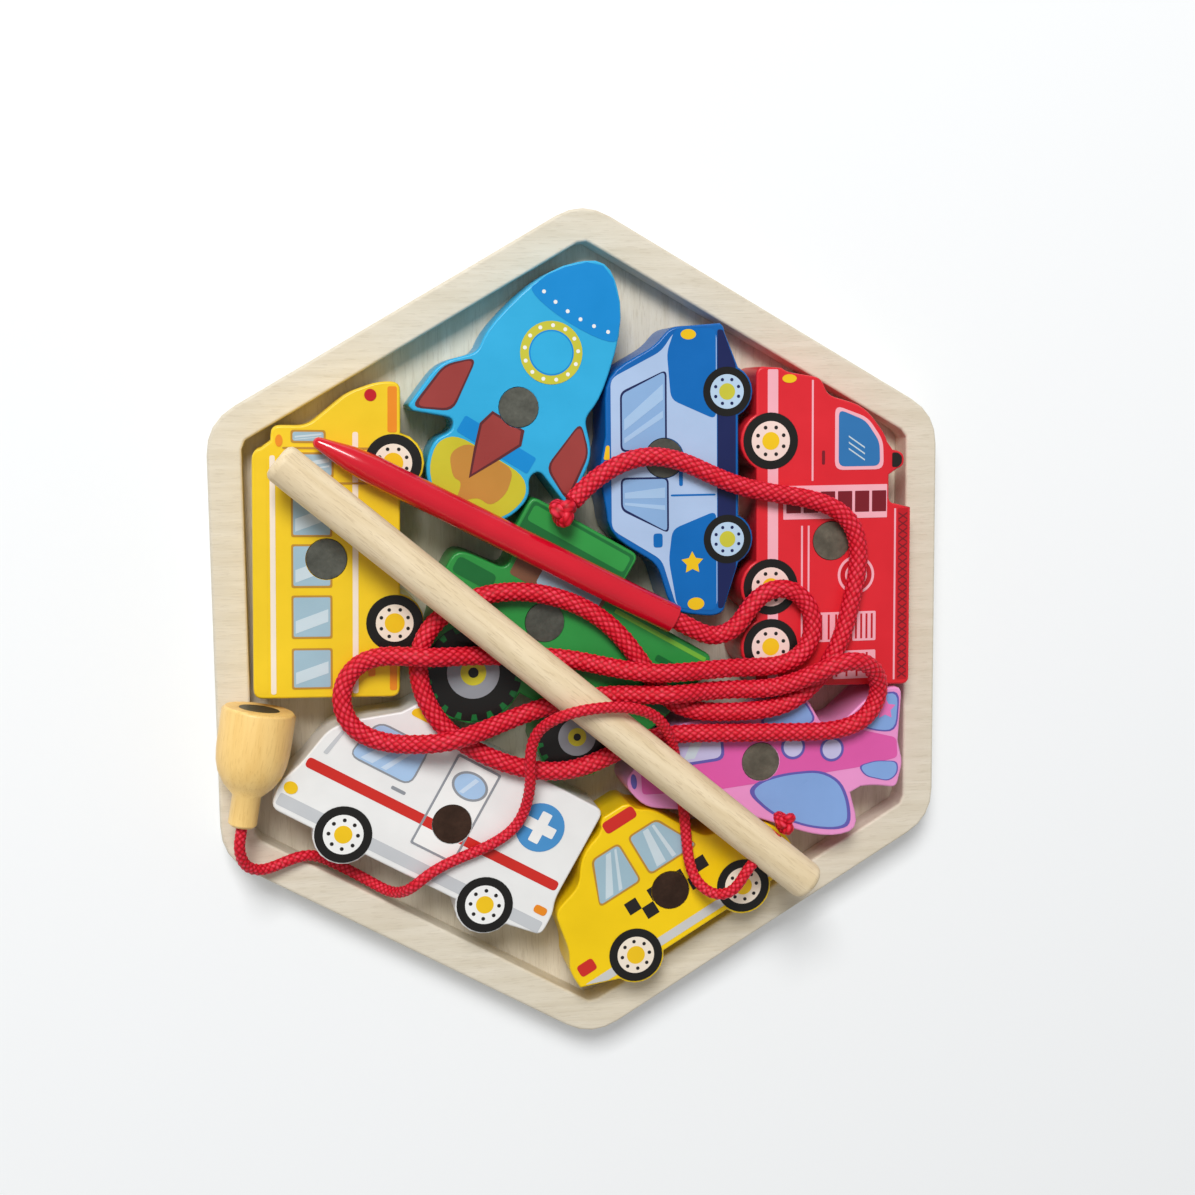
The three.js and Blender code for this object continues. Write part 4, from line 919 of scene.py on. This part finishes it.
# tractor
tractor = {
    "turn": -30, "magnet": (-6, 33), "paint": (44, 148, 64),
    "cab": [("dark leaf", 1, (-23.6, 50.6, 6.4, 58.8), 1.2), ("leaf", 2, (-22.8, 53.6, 5.6, 58.0), 1.0),
            ("brown", 1, (-20.2, 39.6, 5.2, 49.2), 1.0), ("glass", 2, (-13.0, 40.6, 4.2, 48.6), 1.0),
            ("lime", 1, (8.6, 43.6, 36.0, 44.8), 0.3)],
    "grille": (24.0, 27.0, 34.0, 28.8), "grilleBars": 4, "grilleStep": 3.6,
    "mudguard": (-33.4, 33.2, -22.4, 37.6),
    "wheels": [(-15.9, 13.2, 12.5, 6.7, 3.3), (15.9, 11, 10.4, 4.9, 2.4)],
    "treads": 18, "treadEnds": [(0.86, 0.05), (0.99, 0.07)], "boltShare": 0.4,
}
smoothCopy("tractor", "tractor_block", paintFinish("tractor_green", tractor["paint"]))
art = Drawing("tractor", tractor["turn"], tractor["magnet"])
for colour, layer, box, corner in tractor["cab"]:
    art.bar(colour, layer, *box, corner=corner)
left, low, rightEnd, high = tractor["grille"]
for i in range(tractor["grilleBars"]):
    rise = i * tractor["grilleStep"]
    art.bar("dark leaf", 1, left, low + rise, rightEnd, high + rise, corner=0.6)
art.bar("dark leaf", 1, *tractor["mudguard"], corner=1.4)
(nearShare, nearHalf), (farShare, farHalf) = tractor["treadEnds"]
treadCorners = [(nearShare, -nearHalf), (farShare, -farHalf), (farShare, farHalf), (nearShare, nearHalf)]
for x, y, tyre, hub, cap in tractor["wheels"]:
    art.disc("tyre", 2, x, y, tyre)
    for i in range(tractor["treads"]):
        at = 2 * math.pi * i / tractor["treads"]
        tread = [(tyre * share, at + half) for share, half in treadCorners]
        art.shape("dark leaf", 3, [(x + r * math.cos(t), y + r * math.sin(t)) for r, t in tread])
    art.disc("dark grey", 3, x, y, hub)
    art.disc("flame", 4, x, y, cap)
    art.disc("tyre", 5, x, y, cap * tractor["boltShare"])
art.printed()

magnets = {
    "school_bus": darkSteel, "rocket": darkSteel, "police_car": darkSteel, "fire_truck": paleSteel,
    "airplane": paleSteel, "taxi": brownSteel, "ambulance": brownSteel, "tractor": darkSteel,
}
for name, finish in magnets.items():
    smoothCopy(name + "_magnet", name + "_block", finish)
print("vehicles dressed")


# floor that fades to white far away, sky and lamp, in metres
studio = {
    "floor": (250, 252, 253), "floorDrift": 3, "glow": (249, 250, 251), "reach": 8.0, "sunk": 0.0002,
    "white": 0.16, "fadeFrom": 0.35, "fade": 0.9, "sky": 0.33, "backdrop": 0.96,
    "keyPower": 25, "keyPlace": (-0.35, 0.95, 1.4), "keySize": 0.6,
}
bpy.ops.object.select_all(action="DESELECT")
bpy.ops.mesh.primitive_plane_add(size=studio["reach"], location=(0, 0, -studio["sunk"]))
floor = bpy.context.object
floor.name = "pale_floor"
look = Finish("pale_floor", Roughness=0.9)
spot = look.node("TexCoord", output="Object")
tint = look.node("TexNoise", Vector=spot, Scale=3.0)
dim = ink(*(v - studio["floorDrift"] for v in studio["floor"]))
look.feed(Base_Color=look.blend(tint, ink(*studio["floor"]), dim))
seen = look.node("LightPath", output="Is Camera Ray").orMore(look.node("LightPath", output="Is Glossy Ray"))
seen = seen.orMore(look.node("LightPath", output="Is Transmission Ray"))
away = look.node("VectorMath", output="Value", settings={"operation": "LENGTH"}, Vector=spot)
away = away - studio["fadeFrom"]
whiteShare = seen * (away.orMore(0.0) * studio["fade"] + studio["white"])
glow = look.node("Emission", Color=ink(*studio["glow"]))
paper = Wire(look.tree, look.shader.outputs["BSDF"])
surface = look.node("MixShader", socket0=whiteShare, socket1=paper, socket2=glow)
look.tree.links.new(surface.socket, look.tree.nodes["Material Output"].inputs["Surface"])
floor.data.materials.append(look.material)

sky = bpy.data.worlds.new("studio_sky")
sky.use_nodes = True
air = Nodes(sky.node_tree)
background = air.tree.nodes["Background"]
background.inputs["Color"].default_value = (1, 1, 1, 1)
shown = air.node("LightPath", output="Is Camera Ray")
strength = studio["sky"] + shown * (studio["backdrop"] - studio["sky"])
air.tree.links.new(strength.socket, background.inputs["Strength"])
scene.world = sky
bpy.ops.object.light_add(type="AREA", location=studio["keyPlace"])
key = bpy.context.object
key.name = "window_light"
key.data.size = studio["keySize"]
key.data.energy = studio["keyPower"]
key.rotation_euler = Vector(studio["keyPlace"]).to_track_quat("Z", "Y").to_euler()
print("studio ready")
